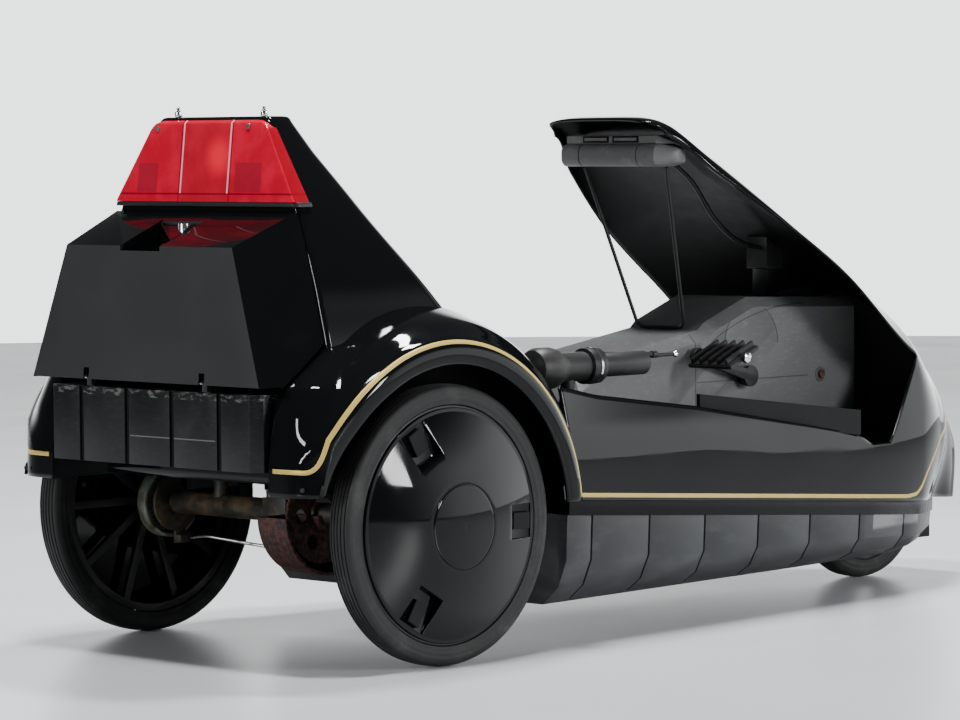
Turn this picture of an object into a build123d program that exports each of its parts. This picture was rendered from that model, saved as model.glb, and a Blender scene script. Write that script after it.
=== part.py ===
from build123d import *
import os
from math import sin, cos, tan, radians, hypot, sqrt

# Single-seat pedal tricycle with electric help and a moulded body, built in millimetres.
# X points to the nose, Y to the left, Z up. The origin is on the floor at the middle of the box.

# ---- driving dimensions ----------------------------------------------------------------
LENGTH = 1744.0
REAR_OVERHANG = 278.0
FRONT_OVERHANG = 166.0      # the wheelbase is what the two overhangs leave, 1300 here
WALL = 4.0                  # body moulding
FIT = 0.05                  # radial clearance of a running shaft
SEAT_GAP = 0.3              # clearance where one curved piece lies on another

X_TAIL = -LENGTH / 2
X_NOSE = LENGTH / 2
X_REAR = X_TAIL + REAR_OVERHANG
X_FRONT = X_NOSE - FRONT_OVERHANG

# Stations are drawn with the tail, the belt's rear end, the bulkhead and the nose at these places.
# The tail block moves with the tail and the nose block with the nose; what is between is spread evenly.
DRAWN = (-872.0, -345.0, 592.0, 872.0)


def at(x):
    """Place along the car of a drawn station."""
    tail, belt, bulkhead, nose = DRAWN
    if x <= belt:
        return X_TAIL + x - tail
    if x >= bulkhead:
        return X_NOSE + x - nose
    rear, front = X_TAIL + belt - tail, X_NOSE + bulkhead - nose
    return rear + (x - belt) * (front - rear) / (bulkhead - belt)


def at_all(points):
    """Stations of an outline given as (x, z) points."""
    return [(at(x), z) for x, z in points]


# ---- wheels ----------------------------------------------------------------------------
REAR_TYRE_R = 200.0
REAR_TYRE_W = 42.0
REAR_BEAD_R = 170.0
REAR_TRACK_HALF = 318.0     # middle plane of a rear wheel
COVER_R = 167.0
COVER_DOME = 36.0
COVER_WALL = 3.0
FRONT_TYRE_R = 150.0
FRONT_TYRE_W = 40.0
FRONT_BEAD_R = 122.0
RIM_WALL = 3.0
REAR_SPOKES = 10
FRONT_SPOKES = 6
REAR_SPINDLE_D = 15.0
FRONT_SPINDLE_D = 10.0
HUB_D = 46.0
Z_REAR = REAR_TYRE_R
Z_FRONT = FRONT_TYRE_R

# ---- belt line between the upper and lower mouldings ---------------------------------------
X_BELT = at(DRAWN[1])       # where the belt leaves the rear arch
UPPER_EDGE_Z = 219.0        # lower edge of the upper moulding there
LOWER_EDGE_Z = 197.0        # upper edge of the lower moulding there
BELT_SLOPE = -0.0745        # the belt falls toward the nose
BELT_INSET = 2.0
FLOOR_Z = 62.0


def upper_edge(x):
    return UPPER_EDGE_Z + BELT_SLOPE * (x - X_BELT)


def lower_edge(x):
    return LOWER_EDGE_Z + BELT_SLOPE * (x - X_BELT)


os.makedirs("parts", exist_ok=True)


def save(part, name):
    part.label = name
    export_step(part, "parts/" + name + ".step")


# ---- front body: sections from the rear arch to the nose ----------------------------------------
# x, half width at the belt, widest half width and its height, shoulder half width and height, crown
BODY = [
    (X_BELT, 334, 333, 300, 300, 440, 500),
    (at(-60), 306, 304, 300, 180, 640, 700),
    (at(90), 291, 289, 290, 128, 754, 777),
    (at(172), 283, 281, 280, 166, 693, 735),
    (at(300), 270, 269, 270, 208, 602, 662),
    (at(431), 256, 256, 256, 224, 512, 596),
    (at(592), 228, 240, 250, 221, 388, 505),
    (at(700), 160, 206, 248, 172, 340, 432),
    (at(790), 96, 142, 246, 110, 318, 348),
    (at(850), 84, 96, 246, 66, 278, 290),
    (X_NOSE, 60, 66, 246, 40, 262, 266),
]


def body_section(row, inset, drop):
    """Closed outline across the body; the foot is carried down by drop so that a cut stays open."""
    x, belt_w, wide_w, wide_z, shoulder_w, shoulder_z, crown_z = row
    edge_z = min(upper_edge(x), wide_z - 12)
    foot_z = edge_z - drop
    bw = belt_w - inset - max(0, wide_w - belt_w) * drop / (wide_z - edge_z)
    ww = wide_w - inset
    sw = shoulder_w - inset
    sz = shoulder_z - inset * 0.5
    with BuildSketch(Plane(origin=(x, 0, 0), x_dir=(0, 1, 0), z_dir=(1, 0, 0))) as s:
        with BuildLine():
            Polyline((-sw, sz), (-ww, wide_z), (-bw, foot_z), (bw, foot_z), (ww, wide_z), (sw, sz))
            ThreePointArc((sw, sz), (0, crown_z - inset), (-sw, sz))
        make_face()
    return s.sketch


def body_loft(inset, drop, shift):
    rows = [(r[0] + (shift if i == len(BODY) - 1 else 0),) + tuple(r[1:]) for i, r in enumerate(BODY)]
    return loft([body_section(r, inset, drop) for r in rows], ruled=True)


def side_slab(points, y_low, y_high):
    """Solid with a side outline given in X and Z, between two Y values."""
    with BuildPart() as slab:
        with BuildSketch(Plane(origin=(0, y_low, 0), x_dir=(1, 0, 0), z_dir=(0, -1, 0))):
            with BuildLine():
                Polyline(*points, close=True)
            make_face()
        extrude(amount=-(y_high - y_low))
    return slab.part


def axle_plane(x, z, y=0.0):
    """Plane whose first axis runs along +Y and whose second axis is the radius."""
    return Plane(origin=(x, y, z), x_dir=(0, 1, 0), z_dir=(1, 0, 0))


def disc_plane(x, y, z):
    """Plane of a wheel: X and Z stay X and Z, the normal runs along -Y."""
    return Plane(origin=(x, y, z), x_dir=(1, 0, 0), z_dir=(0, -1, 0))


# ---- rear arches: rounded drums over the rear wheels -----------------------------------------
ARCH_R = 228.0              # edge of the arch opening, round the wheel's own axis
ARCH_FACE = 352.0           # outer face of the arch
ARCH_INNER = 236.0          # inner wall of the wheel well
ARCH_REAR_Z = 252.0         # foot of the arch behind the wheel
ARCH_RINGS = [              # half width, ring centre ahead of and above the wheel's axis, radius
    (ARCH_INNER, 30, 16, 292),
    (300, 19, 6, 284),
    (334, 6, 0, 270),
    (346, 1, 0, 260),
    (ARCH_FACE, 0, 0, 250),
]


def arch_drum(inset, side):
    rings = []
    for i, (y, ahead, above, radius) in enumerate(ARCH_RINGS):
        shift = inset if i == 0 else (-inset if i == len(ARCH_RINGS) - 1 else 0)
        with BuildSketch(disc_plane(X_REAR + ahead, side * (y + shift), Z_REAR + above)) as ring:
            Circle(radius - inset)
        rings.append(ring.sketch)
    return loft(rings, ruled=True)


# ---- rear corners: the moulding behind each rear wheel, from the foot of the arch up to the lid ----
CORNER_FRONT = -60          # ahead of the wheel's axis, well inside the drum
CORNER = [                  # height, half width in front, then three points round the corner:
    (ARCH_REAR_Z, 352, (-165, 345), (-228, 318), (-250, 272)),      # ahead of the axis, half width
    (401, 318, (-165, 306), (-217, 290), (-234, 262)),
    (457, 290, (-110, 280), (-140, 272), (-154, 262)),
]


def corner_face(row, front, z, inset, side):
    """Plan of the corner at one height, as far forward as front."""
    _, front_w, start, middle, end = row
    turn = [(X_REAR + ahead, side * w) for ahead, w in (start, middle, end)]
    with BuildSketch(Plane.XY.offset(z)) as s:
        with BuildLine():
            ThreePointArc(*turn)
            Polyline(turn[2], (turn[2][0], side * ARCH_INNER), (X_REAR + front, side * ARCH_INNER),
                     (X_REAR + front, side * front_w), turn[0])
        make_face()
        if inset:
            offset(amount=-inset, kind=Kind.INTERSECTION)
    return s.sketch


def corner_loft(inset, foot_drop, side):
    faces = []
    for i, row in enumerate(CORNER):
        z = row[0] - (foot_drop if i == 0 else 0) - (inset if i == len(CORNER) - 1 else 0)
        faces.append(corner_face(row, CORNER_FRONT, z, inset, side))
    return loft(faces, ruled=True)


def arch_solid(inset, foot_drop, side):
    """Drum and corner as one; the drum stays inside the plan of the corner's foot."""
    with BuildPart(mode=Mode.PRIVATE) as body:
        add(arch_drum(inset, side))
        with BuildPart(mode=Mode.PRIVATE) as plan:
            add(corner_face(CORNER[0], REAR_OVERHANG + 122, -200, inset, side))
            extrude(amount=900)
        add(plan.part, mode=Mode.INTERSECT)
        add(corner_loft(inset, foot_drop, side))
    return body.part


# ---- tail: the tower behind the seat ------------------------------------------------------
BOOT_PLANE = at(-748)       # the lid meets the tower here
TOWER = [                   # height, rear x, front x, half width
    (252, BOOT_PLANE, BOOT_PLANE + 430, 234),
    (402, BOOT_PLANE, BOOT_PLANE + 332, 262),
    (516, BOOT_PLANE, BOOT_PLANE + 243, 240),
    (652, BOOT_PLANE, BOOT_PLANE + 136, 191),
    (779, BOOT_PLANE + 13, BOOT_PLANE + 64, 117),
]


def tower_at(z):
    """Front x and half width on the line through the tower's first two sections."""
    (z0, _, f0, w0), (z1, _, f1, w1) = TOWER[:2]
    share = (z - z0) / (z1 - z0)
    return f0 + share * (f1 - f0), w0 + share * (w1 - w0)


def tower_loft(inset, top_inset, foot_drop):
    faces = []
    for i, (z, xr, xf, w) in enumerate(TOWER):
        zz = z - top_inset if i == len(TOWER) - 1 else z
        if i == 0:
            zz = z - foot_drop
            xf, w = tower_at(zz)
        with BuildSketch(Plane.XY.offset(zz)) as s:
            with BuildLine():
                Polyline((xr + inset, w - inset), (xr + inset, inset - w),
                         (xf - inset, inset - w), (xf - inset, w - inset), close=True)
            make_face()
        faces.append(s.sketch)
    return loft(faces, ruled=True)


OPENING = at_all([          # side outline of what is open above the sill and under the hood
    (-430, 900), (-430, 405), (-373, 388), (-258, 367), (-21, 338), (263, 293), (382, 273),
    (415, 263), (437, 252), (490, 252), (592, 388), (506, 460), (431, 512), (350, 569),
    (275, 620), (172, 693), (124, 726), (98, 750), (62, 764), (56, 900),
])

SHELL_OUT = body_loft(0, 0, 0)
SHELL_IN = body_loft(WALL, 40, -WALL)
TOWER_OUT = tower_loft(0, 0, 0)
TOWER_IN = tower_loft(WALL, WALL, 20)
ARCH_IN = {side: arch_solid(WALL, 20, side) for side in (1, -1)}
WELL_CLEAR = 76.0           # half width of the front wheel's slot

# ---- pod over the boot: sections of the faceted cover behind the tower -----------------------------
POD = [                     # height, rear x, rear half width, half width where it meets the tower
    (402, X_TAIL, 247, 263),
    (596, X_TAIL + 12, 180, 211),
    (643, BOOT_PLANE - 5, 194, 194),
]
LID_WALL = 3.0
LID_CUT = [                 # side outline of the lid; the rest of the pod belongs to the body
    (X_TAIL - 20, 380), (X_TAIL + 42, 380), (X_TAIL + 42, POD[0][0] + 1), (BOOT_PLANE - 2, 459),
    (BOOT_PLANE - 2, 700),
    (X_TAIL - 20, 700),
]
LID_GAP = 2.0
BODY_CUT = [                # side outline of the part of the pod that stays with the body
    (X_TAIL + 44, 390), (X_TAIL + 44, LID_CUT[2][1] - LID_GAP), (BOOT_PLANE, LID_CUT[3][1] - LID_GAP),
    (BOOT_PLANE, 390),
]


def pod_loft(inset):
    faces = []
    for i, (z, xr, wr, wf) in enumerate(POD):
        zz = z + inset if i == 0 else (z - inset if i == len(POD) - 1 else z)
        with BuildSketch(Plane.XY.offset(zz)) as s:
            with BuildLine():
                Polyline((xr + inset, wr - inset), (xr + inset, inset - wr),
                         (BOOT_PLANE, inset - wf), (BOOT_PLANE, wf - inset), close=True)
            make_face()
        faces.append(s.sketch)
    return loft(faces, ruled=True)


POD_OUT = pod_loft(0)
POD_IN = pod_loft(LID_WALL)
BOOT_W = 168.0              # half width and heights of the boot's mouth in the tower
BOOT_LOW = 410.0
BOOT_HIGH = 600.0

# ---- headlamp recess in the nose ---------------------------------------------------------------
LAMP_W = 47.0
LAMP_LOW = 276.0
LAMP_HIGH = 314.0
LAMP_BACK = X_NOSE - 60
LAMP_FACE = X_NOSE - 32

with BuildPart() as upper_shell:
    add(SHELL_OUT)
    add(SHELL_IN, mode=Mode.SUBTRACT)
    add(side_slab(OPENING, -400, 400), mode=Mode.SUBTRACT)
    add(side_slab([(LAMP_BACK, LAMP_LOW), (X_NOSE + 28, LAMP_LOW), (X_NOSE + 28, LAMP_HIGH),
                   (LAMP_BACK, LAMP_HIGH)],
                  -LAMP_W - SEAT_GAP, LAMP_W + SEAT_GAP), mode=Mode.SUBTRACT)
    add(TOWER_IN, mode=Mode.SUBTRACT)
    for side in (1, -1):
        add(ARCH_IN[side], mode=Mode.SUBTRACT)

with BuildPart() as tail:
    add(TOWER_OUT)
    add(TOWER_IN, mode=Mode.SUBTRACT)
    with BuildPart(mode=Mode.PRIVATE) as pod_side:
        add(POD_OUT)
        add(POD_IN, mode=Mode.SUBTRACT)
        add(side_slab(BODY_CUT, -400, 400), mode=Mode.INTERSECT)
    add(pod_side.part)
    add(side_slab([(BOOT_PLANE - 9, BOOT_LOW), (BOOT_PLANE + 9, BOOT_LOW),
                   (BOOT_PLANE + 9, BOOT_HIGH), (BOOT_PLANE - 9, BOOT_HIGH)], -BOOT_W, BOOT_W),
        mode=Mode.SUBTRACT)
    for side in (1, -1):
        add(ARCH_IN[side], mode=Mode.SUBTRACT)

with BuildPart() as arches:
    for side in (1, -1):
        add(arch_solid(0, 0, side))
        add(ARCH_IN[side], mode=Mode.SUBTRACT)
    FOOT = [(X_REAR - 406, -200), (X_REAR - 406, ARCH_REAR_Z), (X_REAR, ARCH_REAR_Z),
            (X_REAR, upper_edge(X_REAR)), (X_REAR + 500, upper_edge(X_REAR + 500)), (X_REAR + 500, -200)]
    add(side_slab(FOOT, -400, 400), mode=Mode.SUBTRACT)
    for side in (1, -1):
        with BuildSketch(disc_plane(X_REAR, side * 400, Z_REAR)):
            Circle(ARCH_R)
        extrude(amount=side * (400 - ARCH_INNER - 30), mode=Mode.SUBTRACT)

with BuildPart() as upper:
    add(upper_shell.part)
    add(tail.part)
    add(arches.part)
save(upper.part, "upper_shell")

# ---- belt strip and lower moulding ----------------------------------------------------------------
SKIRT = [                   # share of the height above the floor, inset from the belt
    (1.0, 6),
    (0.5, 9),
    (0.2, 26),
    (0.0, 58),
]
SKIRT_END = at(790)
LOWER_ROWS = [row for row in BODY if row[0] <= SKIRT_END]


def cross_face(x, pts):
    """Closed outline across the body, mirrored about the middle."""
    with BuildSketch(Plane(origin=(x, 0, 0), x_dir=(0, 1, 0), z_dir=(1, 0, 0))) as s:
        with BuildLine():
            Polyline(*pts, *[(-y, z) for y, z in reversed(pts)], close=True)
        make_face()
    return s.sketch


def belt_loft(inset, over):
    rows = []
    for row in LOWER_ROWS:
        w = row[1] - BELT_INSET - inset
        rows.append(cross_face(row[0], [(w, lower_edge(row[0]) - over), (w, upper_edge(row[0]) + over)]))
    return loft(rows, ruled=True)


with BuildPart() as belt:
    add(belt_loft(0, 0))
    add(belt_loft(WALL, 5), mode=Mode.SUBTRACT)
    with BuildSketch(Plane.XY.offset(FLOOR_Z)):
        with Locations((X_FRONT + 50, 0)):
            Rectangle(2 * 171, 2 * (WELL_CLEAR + WALL + SEAT_GAP))
    extrude(amount=120, mode=Mode.SUBTRACT)
save(belt.part, "belt_strip")


def skirt_loft(inset, floor_rise, top_over, first_shift, last_shift):
    rows = []
    for i, row in enumerate(LOWER_ROWS):
        x = row[0] + (first_shift if i == 0 else 0) + (last_shift if i == len(LOWER_ROWS) - 1 else 0)
        height = lower_edge(x) - FLOOR_Z
        pts = []
        for share, tuck in SKIRT:
            z = FLOOR_Z + share * height
            z = z + top_over if share == 1.0 else max(z, FLOOR_Z + floor_rise)
            if share == 0.0:
                z = FLOOR_Z + floor_rise
            pts.append((row[1] - tuck - inset, z))
        rows.append(cross_face(x, pts))
    return loft(rows, ruled=True)


RIB_PITCH = 139.0
RIB_FIRST = X_BELT + 56
RIB_COUNT = 7
RIB_W = 4.5
RIB_DEEP = 2.5
SPINE_W = 50.0
SPINE_H = 50.0

with BuildPart() as lower:
    add(skirt_loft(0, 0, 0, 0, 0))
    with BuildPart(mode=Mode.PRIVATE) as grooves:
        for i in range(RIB_COUNT):
            x = RIB_FIRST + i * RIB_PITCH
            add(side_slab([(x, 66), (x + RIB_W, 66), (x + RIB_W, 260), (x, 260)], -400, 400))
        add(skirt_loft(RIB_DEEP, 0, 20, -5, 5), mode=Mode.SUBTRACT)
    add(grooves.part, mode=Mode.SUBTRACT)
    add(skirt_loft(WALL, WALL, 20, WALL, -WALL), mode=Mode.SUBTRACT)
    with BuildSketch(Plane.XY.offset(0)):
        with Locations((X_FRONT + 50, 0)):
            Rectangle(2 * 225, 2 * WELL_CLEAR)
    extrude(amount=300, mode=Mode.SUBTRACT)
    with BuildSketch(Plane.XY.offset(FLOOR_Z + WALL)):
        with Locations((X_FRONT + 50, 0)):
            Rectangle(2 * 225, 2 * (WELL_CLEAR + WALL + SEAT_GAP))
    extrude(amount=300, mode=Mode.SUBTRACT)
    add(side_slab([(X_BELT - 9, FLOOR_Z + WALL), (X_BELT + 9, FLOOR_Z + WALL),
                   (X_BELT + 9, FLOOR_Z + WALL + SPINE_H + 4), (X_BELT - 9, FLOOR_Z + WALL + SPINE_H + 4)],
                  -SPINE_W / 2 - 3, SPINE_W / 2 + 3), mode=Mode.SUBTRACT)
save(lower.part, "lower_shell")


def tube_run(path_points, radii, diameter):
    """Round bar along straight runs joined by arcs."""
    with BuildPart() as bar:
        with BuildLine() as path:
            if radii:
                FilletPolyline(*path_points, radius=radii)
            else:
                Polyline(*path_points)
        start = path.line @ 0
        with BuildSketch(Plane(origin=start, z_dir=path.line % 0)):
            Circle(diameter / 2)
        sweep(path=path.line, transition=Transition.ROUND)
    return bar.part


def y_cylinder(x, z, radius, y_low, y_high):
    """Round bar along Y between two Y values."""
    with BuildPart() as bar:
        with BuildSketch(disc_plane(x, y_low, z)):
            Circle(radius)
        extrude(amount=-(y_high - y_low))
    return bar.part


def block(x0, x1, y0, y1, z0, z1):
    """Plain block between its corners."""
    with BuildPart() as body:
        with BuildSketch(Plane.XY.offset(z0)):
            with Locations(((x0 + x1) / 2, (y0 + y1) / 2)):
                Rectangle(x1 - x0, y1 - y0)
        extrude(amount=z1 - z0)
    return body.part


# ---- boot lid, its hinge and the ribbed rear panel -------------------------------------------------
HINGE_X = X_TAIL + 10
HINGE_Z = 406.0
HINGE_PIN_D = 6.0
PANEL_X = X_TAIL + 11
PANEL_TOP = 392.0
PANEL_FOOT = 284.0
PANEL_W = 228.0
PANEL_GROOVES = (-150, -49, 49, 150)
HINGE_Y = (110.0, 150.0)    # the fixed lug stands between two knuckles of the lid
LUG_T = 8.0
LUG_Y = (HINGE_Y[0] + HINGE_Y[1] - LUG_T) / 2
LUG_W = 10.0
NOTCH_Y = (-32.0, 60.0)     # finger notch in the lid's top edge, with a shallow shelf for the lock beside it
NOTCH_DEEP = 24.0
NOTCH_FRONT = X_TAIL + 88
NOTCH_BACK = X_TAIL + 26
SHELF_DEEP = 4.0

top_run = (POD[2][1] - POD[1][1]) / hypot(POD[2][1] - POD[1][1], POD[2][0] - POD[1][0])
top_rise = sqrt(1 - top_run ** 2)
top_facet = Plane(origin=(POD[1][1], 0, POD[1][0]), x_dir=(top_run, 0, top_rise),
                  z_dir=(-top_rise, 0, top_run))

with BuildPart() as lid:
    add(POD_OUT)
    add(POD_IN, mode=Mode.SUBTRACT)
    with BuildPart(mode=Mode.PRIVATE) as cup:
        add(block(X_TAIL - 5, NOTCH_FRONT + LID_WALL, NOTCH_Y[0] - LID_WALL, NOTCH_Y[1] + LID_WALL,
                  POD[1][0] - NOTCH_DEEP - LID_WALL, 660))
        add(POD_OUT, mode=Mode.INTERSECT)
    add(cup.part)
    with BuildPart(mode=Mode.PRIVATE) as notch:
        with BuildSketch(Plane.XY.offset(POD[1][0] - NOTCH_DEEP)):
            with BuildLine():
                Polyline((NOTCH_BACK, NOTCH_Y[1]), (NOTCH_FRONT, NOTCH_Y[1]), (NOTCH_BACK, NOTCH_Y[0] + 6),
                         close=True)
            make_face()
        extrude(amount=100)
        add(block(X_TAIL - 5, NOTCH_BACK + 1, NOTCH_Y[0] + 6, NOTCH_Y[1], POD[1][0] - 7, 700))
        with BuildSketch(top_facet.offset(-SHELF_DEEP)):
            with BuildLine():
                Polyline(((NOTCH_FRONT - POD[1][1]) / top_run, NOTCH_Y[1]),
                         ((NOTCH_FRONT - POD[1][1]) / top_run, NOTCH_Y[0]),
                         ((NOTCH_BACK + 4 - POD[1][1]) / top_run, NOTCH_Y[0]), close=True)
            make_face()
        extrude(amount=30)
    add(notch.part, mode=Mode.SUBTRACT)
    add(side_slab(LID_CUT, -400, 400), mode=Mode.INTERSECT)
    for side in (1, -1):
        low, high = side * LUG_Y - LUG_W / 2 - 1, side * LUG_Y + LUG_W / 2 + 1
        add(block(X_TAIL - 5, HINGE_X + 10, low, high, HINGE_Z - 6, HINGE_Z + 14), mode=Mode.SUBTRACT)
    for side in (1, -1):
        for y in HINGE_Y:
            low, high = sorted((side * (y - LUG_T), side * y))
            add(block(X_TAIL + 2, HINGE_X + 5, low, high, HINGE_Z - 3, HINGE_Z + 12))
        low, high = sorted((side * (HINGE_Y[0] - LUG_T), side * HINGE_Y[1]))
        add(y_cylinder(HINGE_X, HINGE_Z, HINGE_PIN_D / 2, low, high))
save(lid.part, "boot_lid")

LOCK_D = 18.0
LOCK_X = NOTCH_FRONT - 16
LOCK_Y = NOTCH_Y[0] + 21
LOCK_TOP = POD[1][0] + (LOCK_X - POD[1][1]) * top_rise / top_run + 5
with BuildPart() as lock:
    with BuildSketch(Plane.XY.offset(LOCK_TOP - 18)):
        with Locations((LOCK_X, LOCK_Y)):
            Circle(LOCK_D / 2)
    extrude(amount=18)
    add(lid.part, mode=Mode.SUBTRACT)
    with BuildSketch(Plane.XY.offset(LOCK_TOP - 1.5)):
        with Locations((LOCK_X, LOCK_Y)):
            Rectangle(9, 1.6)
    extrude(amount=5, mode=Mode.SUBTRACT)
save(lock.part, "lid_lock")

with BuildPart() as rear_panel:
    with BuildSketch(Plane.XY.offset(PANEL_FOOT)):
        with BuildLine():
            Polyline((BOOT_PLANE, PANEL_W), (PANEL_X + 14, PANEL_W), (PANEL_X, PANEL_W - 14),
                     (PANEL_X, 14 - PANEL_W), (PANEL_X + 14, -PANEL_W), (BOOT_PLANE, -PANEL_W), close=True)
        make_face()
        for y in PANEL_GROOVES:
            with Locations((PANEL_X, y)):
                Rectangle(8, 9, mode=Mode.SUBTRACT)
        for side in (1, -1):
            with Locations((PANEL_X + 34, side * PANEL_W)):
                Rectangle(9, 8, mode=Mode.SUBTRACT)
    extrude(amount=PANEL_TOP - PANEL_FOOT)
    with BuildSketch(Plane.XY.offset(PANEL_FOOT - 1)):
        with BuildLine():
            Polyline((BOOT_PLANE, PANEL_W - 8), (PANEL_X + 16, PANEL_W - 8), (PANEL_X + 8, PANEL_W - 16),
                     (PANEL_X + 8, 16 - PANEL_W), (PANEL_X + 16, 8 - PANEL_W), (BOOT_PLANE, 8 - PANEL_W),
                     close=True)
        make_face()
    extrude(amount=PANEL_TOP - PANEL_FOOT - WALL + 1, mode=Mode.SUBTRACT)
    for side in (1, -1):
        low, high = side * LUG_Y - LUG_W / 2, side * LUG_Y + LUG_W / 2
        add(block(HINGE_X - 4, HINGE_X + 5, low, high, PANEL_TOP - WALL, HINGE_Z))
        add(y_cylinder(HINGE_X, HINGE_Z, 4.5, low, high))
        add(y_cylinder(HINGE_X, HINGE_Z, HINGE_PIN_D / 2 + FIT, low - 1, high + 1), mode=Mode.SUBTRACT)
    add(block(X_TAIL - 30, PANEL_X, -PANEL_W, PANEL_W, PANEL_FOOT - 20, PANEL_TOP + 1.9), mode=Mode.SUBTRACT)
save(rear_panel.part, "rear_panel")

# ---- tail lamp, its base and the two knobs over it -----------------------------------------------
LENS = [                    # height, rear x, front x, half width
    (657.3, BOOT_PLANE - 8, BOOT_PLANE + 21, 195),
    (772, BOOT_PLANE + 5, BOOT_PLANE + 23, 125),
]
BASE_H = 6.5


def lens_loft(table):
    faces = []
    for z, xr, xf, w in table:
        with BuildSketch(Plane.XY.offset(z)) as s:
            with BuildLine():
                Polyline((xr, w - 6), (xr + 6, w), (xf, w), (xf, -w), (xr + 6, -w), (xr, 6 - w), close=True)
            make_face()
        faces.append(s.sketch)
    return loft(faces, ruled=True)


with BuildPart() as lens:
    add(lens_loft(LENS))
    add(tower_loft(-SEAT_GAP, -SEAT_GAP, 0), mode=Mode.SUBTRACT)
save(lens.part, "tail_lamp_lens")

with BuildPart() as lamp_base:
    z, xr, xf, w = LENS[0]
    add(lens_loft([(z - SEAT_GAP - BASE_H, xr, xf + 4, w + 3), (z - SEAT_GAP, xr, xf + 3, w + 1.5)]))
    add(tower_loft(-SEAT_GAP, -SEAT_GAP, 0), mode=Mode.SUBTRACT)
save(lamp_base.part, "tail_lamp_base")

KNOB_D = 11.0
KNOB_H = (8.0, 6.0)         # body and tip
KNOB_X = TOWER[-1][1] + 8
KNOBS = (-102.0, 84.0)
with BuildPart() as knobs:
    for y in KNOBS:
        with BuildSketch(Plane.XY.offset(TOWER[-1][0])):
            with Locations((KNOB_X, y)):
                Circle(KNOB_D / 2)
        extrude(amount=KNOB_H[0])
        with BuildSketch(Plane.XY.offset(TOWER[-1][0] + KNOB_H[0])):
            with Locations((KNOB_X, y)):
                Circle(3)
        extrude(amount=KNOB_H[1])
save(knobs.part, "tail_lamp_knobs")

BOOT_FLOOR_Z = 276.0
floor_front, floor_half = tower_at(BOOT_FLOOR_Z)
with BuildPart() as boot_floor:
    add(block(BOOT_PLANE + WALL + SEAT_GAP, floor_front - 2 * WALL, WALL + SEAT_GAP - floor_half,
              floor_half - WALL - SEAT_GAP, BOOT_FLOOR_Z, BOOT_FLOOR_Z + WALL))
save(boot_floor.part, "boot_floor")

# ---- frame: spine, rear axle, head tube, crank bearing, steering post --------------------------------
BULK_X = at(592) - 2
SPINE_Z = FLOOR_Z + WALL
SPINE_TOP = SPINE_Z + SPINE_H
AXLE_TUBE_D = 34.0
AXLE_HALF = 262.0
SPINDLE_END = 338.0
SPINDLE_NUT_D = 24.0
STEER_RAKE = 15.0
HEAD_TUBE_D = 36.0
STEERER_D = 25.4
HEAD_LOW = 168.3
HEAD_HIGH = 262.0
CRANK_X = at(310)
CRANK_Z = 362.0
CRANK_AXLE_D = 16.0
CRANK_SHELL_D = 40.0
CRANK_SHELL_HALF = 34.0
BAR_X = at(-110)
BAR_Z = 332.0
POST_D = 32.0
STEM_D = 16.0
POST_TOP = 318.0
MAST_X = BULK_X - 110
SPINE_END = X_REAR + 164     # the spine turns up to the axle here

STEER_AXIS = (-sin(radians(STEER_RAKE)), 0, cos(radians(STEER_RAKE)))
steer_plane = Plane(origin=(X_FRONT, 0, Z_FRONT), z_dir=STEER_AXIS,
                    x_dir=(cos(radians(STEER_RAKE)), 0, sin(radians(STEER_RAKE))))

with BuildPart() as frame:
    add(block(SPINE_END, MAST_X + 20, -SPINE_W / 2, SPINE_W / 2, SPINE_Z, SPINE_TOP))
    add(side_slab([(SPINE_END, SPINE_Z), (SPINE_END, SPINE_TOP), (X_REAR - 30, Z_REAR + 22),
                   (X_REAR - 30, Z_REAR - 25)], -SPINE_W / 2, SPINE_W / 2))
    add(y_cylinder(X_REAR, Z_REAR, AXLE_TUBE_D / 2, -AXLE_HALF, AXLE_HALF))
    add(y_cylinder(X_REAR, Z_REAR, REAR_SPINDLE_D / 2, -SPINDLE_END, SPINDLE_END))
    for side in (1, -1):
        low, high = sorted((side * (REAR_TRACK_HALF + 15), side * (SPINDLE_END + 3)))
        add(y_cylinder(X_REAR, Z_REAR, SPINDLE_NUT_D / 2, low, high))
    for y in (-150, 150):
        with BuildSketch(Plane.XY.offset(Z_REAR)):
            with Locations((X_REAR, y)):
                Circle(11)
        extrude(amount=BOOT_FLOOR_Z - Z_REAR)
    add(block(MAST_X - 20, MAST_X + 20, -20, 20, SPINE_TOP - 5, 380))
    add(block(MAST_X, X_FRONT - 61, -20, 20, 340, 380))
    with BuildSketch(steer_plane.offset(HEAD_LOW)):
        Circle(HEAD_TUBE_D / 2)
    extrude(amount=HEAD_HIGH - HEAD_LOW)
    with BuildSketch(steer_plane.offset(HEAD_LOW - 1)):
        Circle(STEERER_D / 2 + FIT)
    extrude(amount=HEAD_HIGH - HEAD_LOW + 2, mode=Mode.SUBTRACT)
    add(block(CRANK_X - 15, CRANK_X + 15, -20, 20, SPINE_TOP - 5, CRANK_Z))
    add(y_cylinder(CRANK_X, CRANK_Z, CRANK_SHELL_D / 2, -CRANK_SHELL_HALF, CRANK_SHELL_HALF))
    add(y_cylinder(CRANK_X, CRANK_Z, CRANK_AXLE_D / 2 + FIT, -40, 40), mode=Mode.SUBTRACT)
    with BuildSketch(Plane.XY.offset(SPINE_TOP - 5)):
        with Locations((BAR_X, 0)):
            Circle(POST_D / 2)
    extrude(amount=POST_TOP - SPINE_TOP + 5)
    with BuildSketch(Plane.XY.offset(POST_TOP - 45)):
        with Locations((BAR_X, 0)):
            Circle(STEM_D / 2 + FIT)
    extrude(amount=50, mode=Mode.SUBTRACT)
save(frame.part, "chassis_frame")

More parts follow.
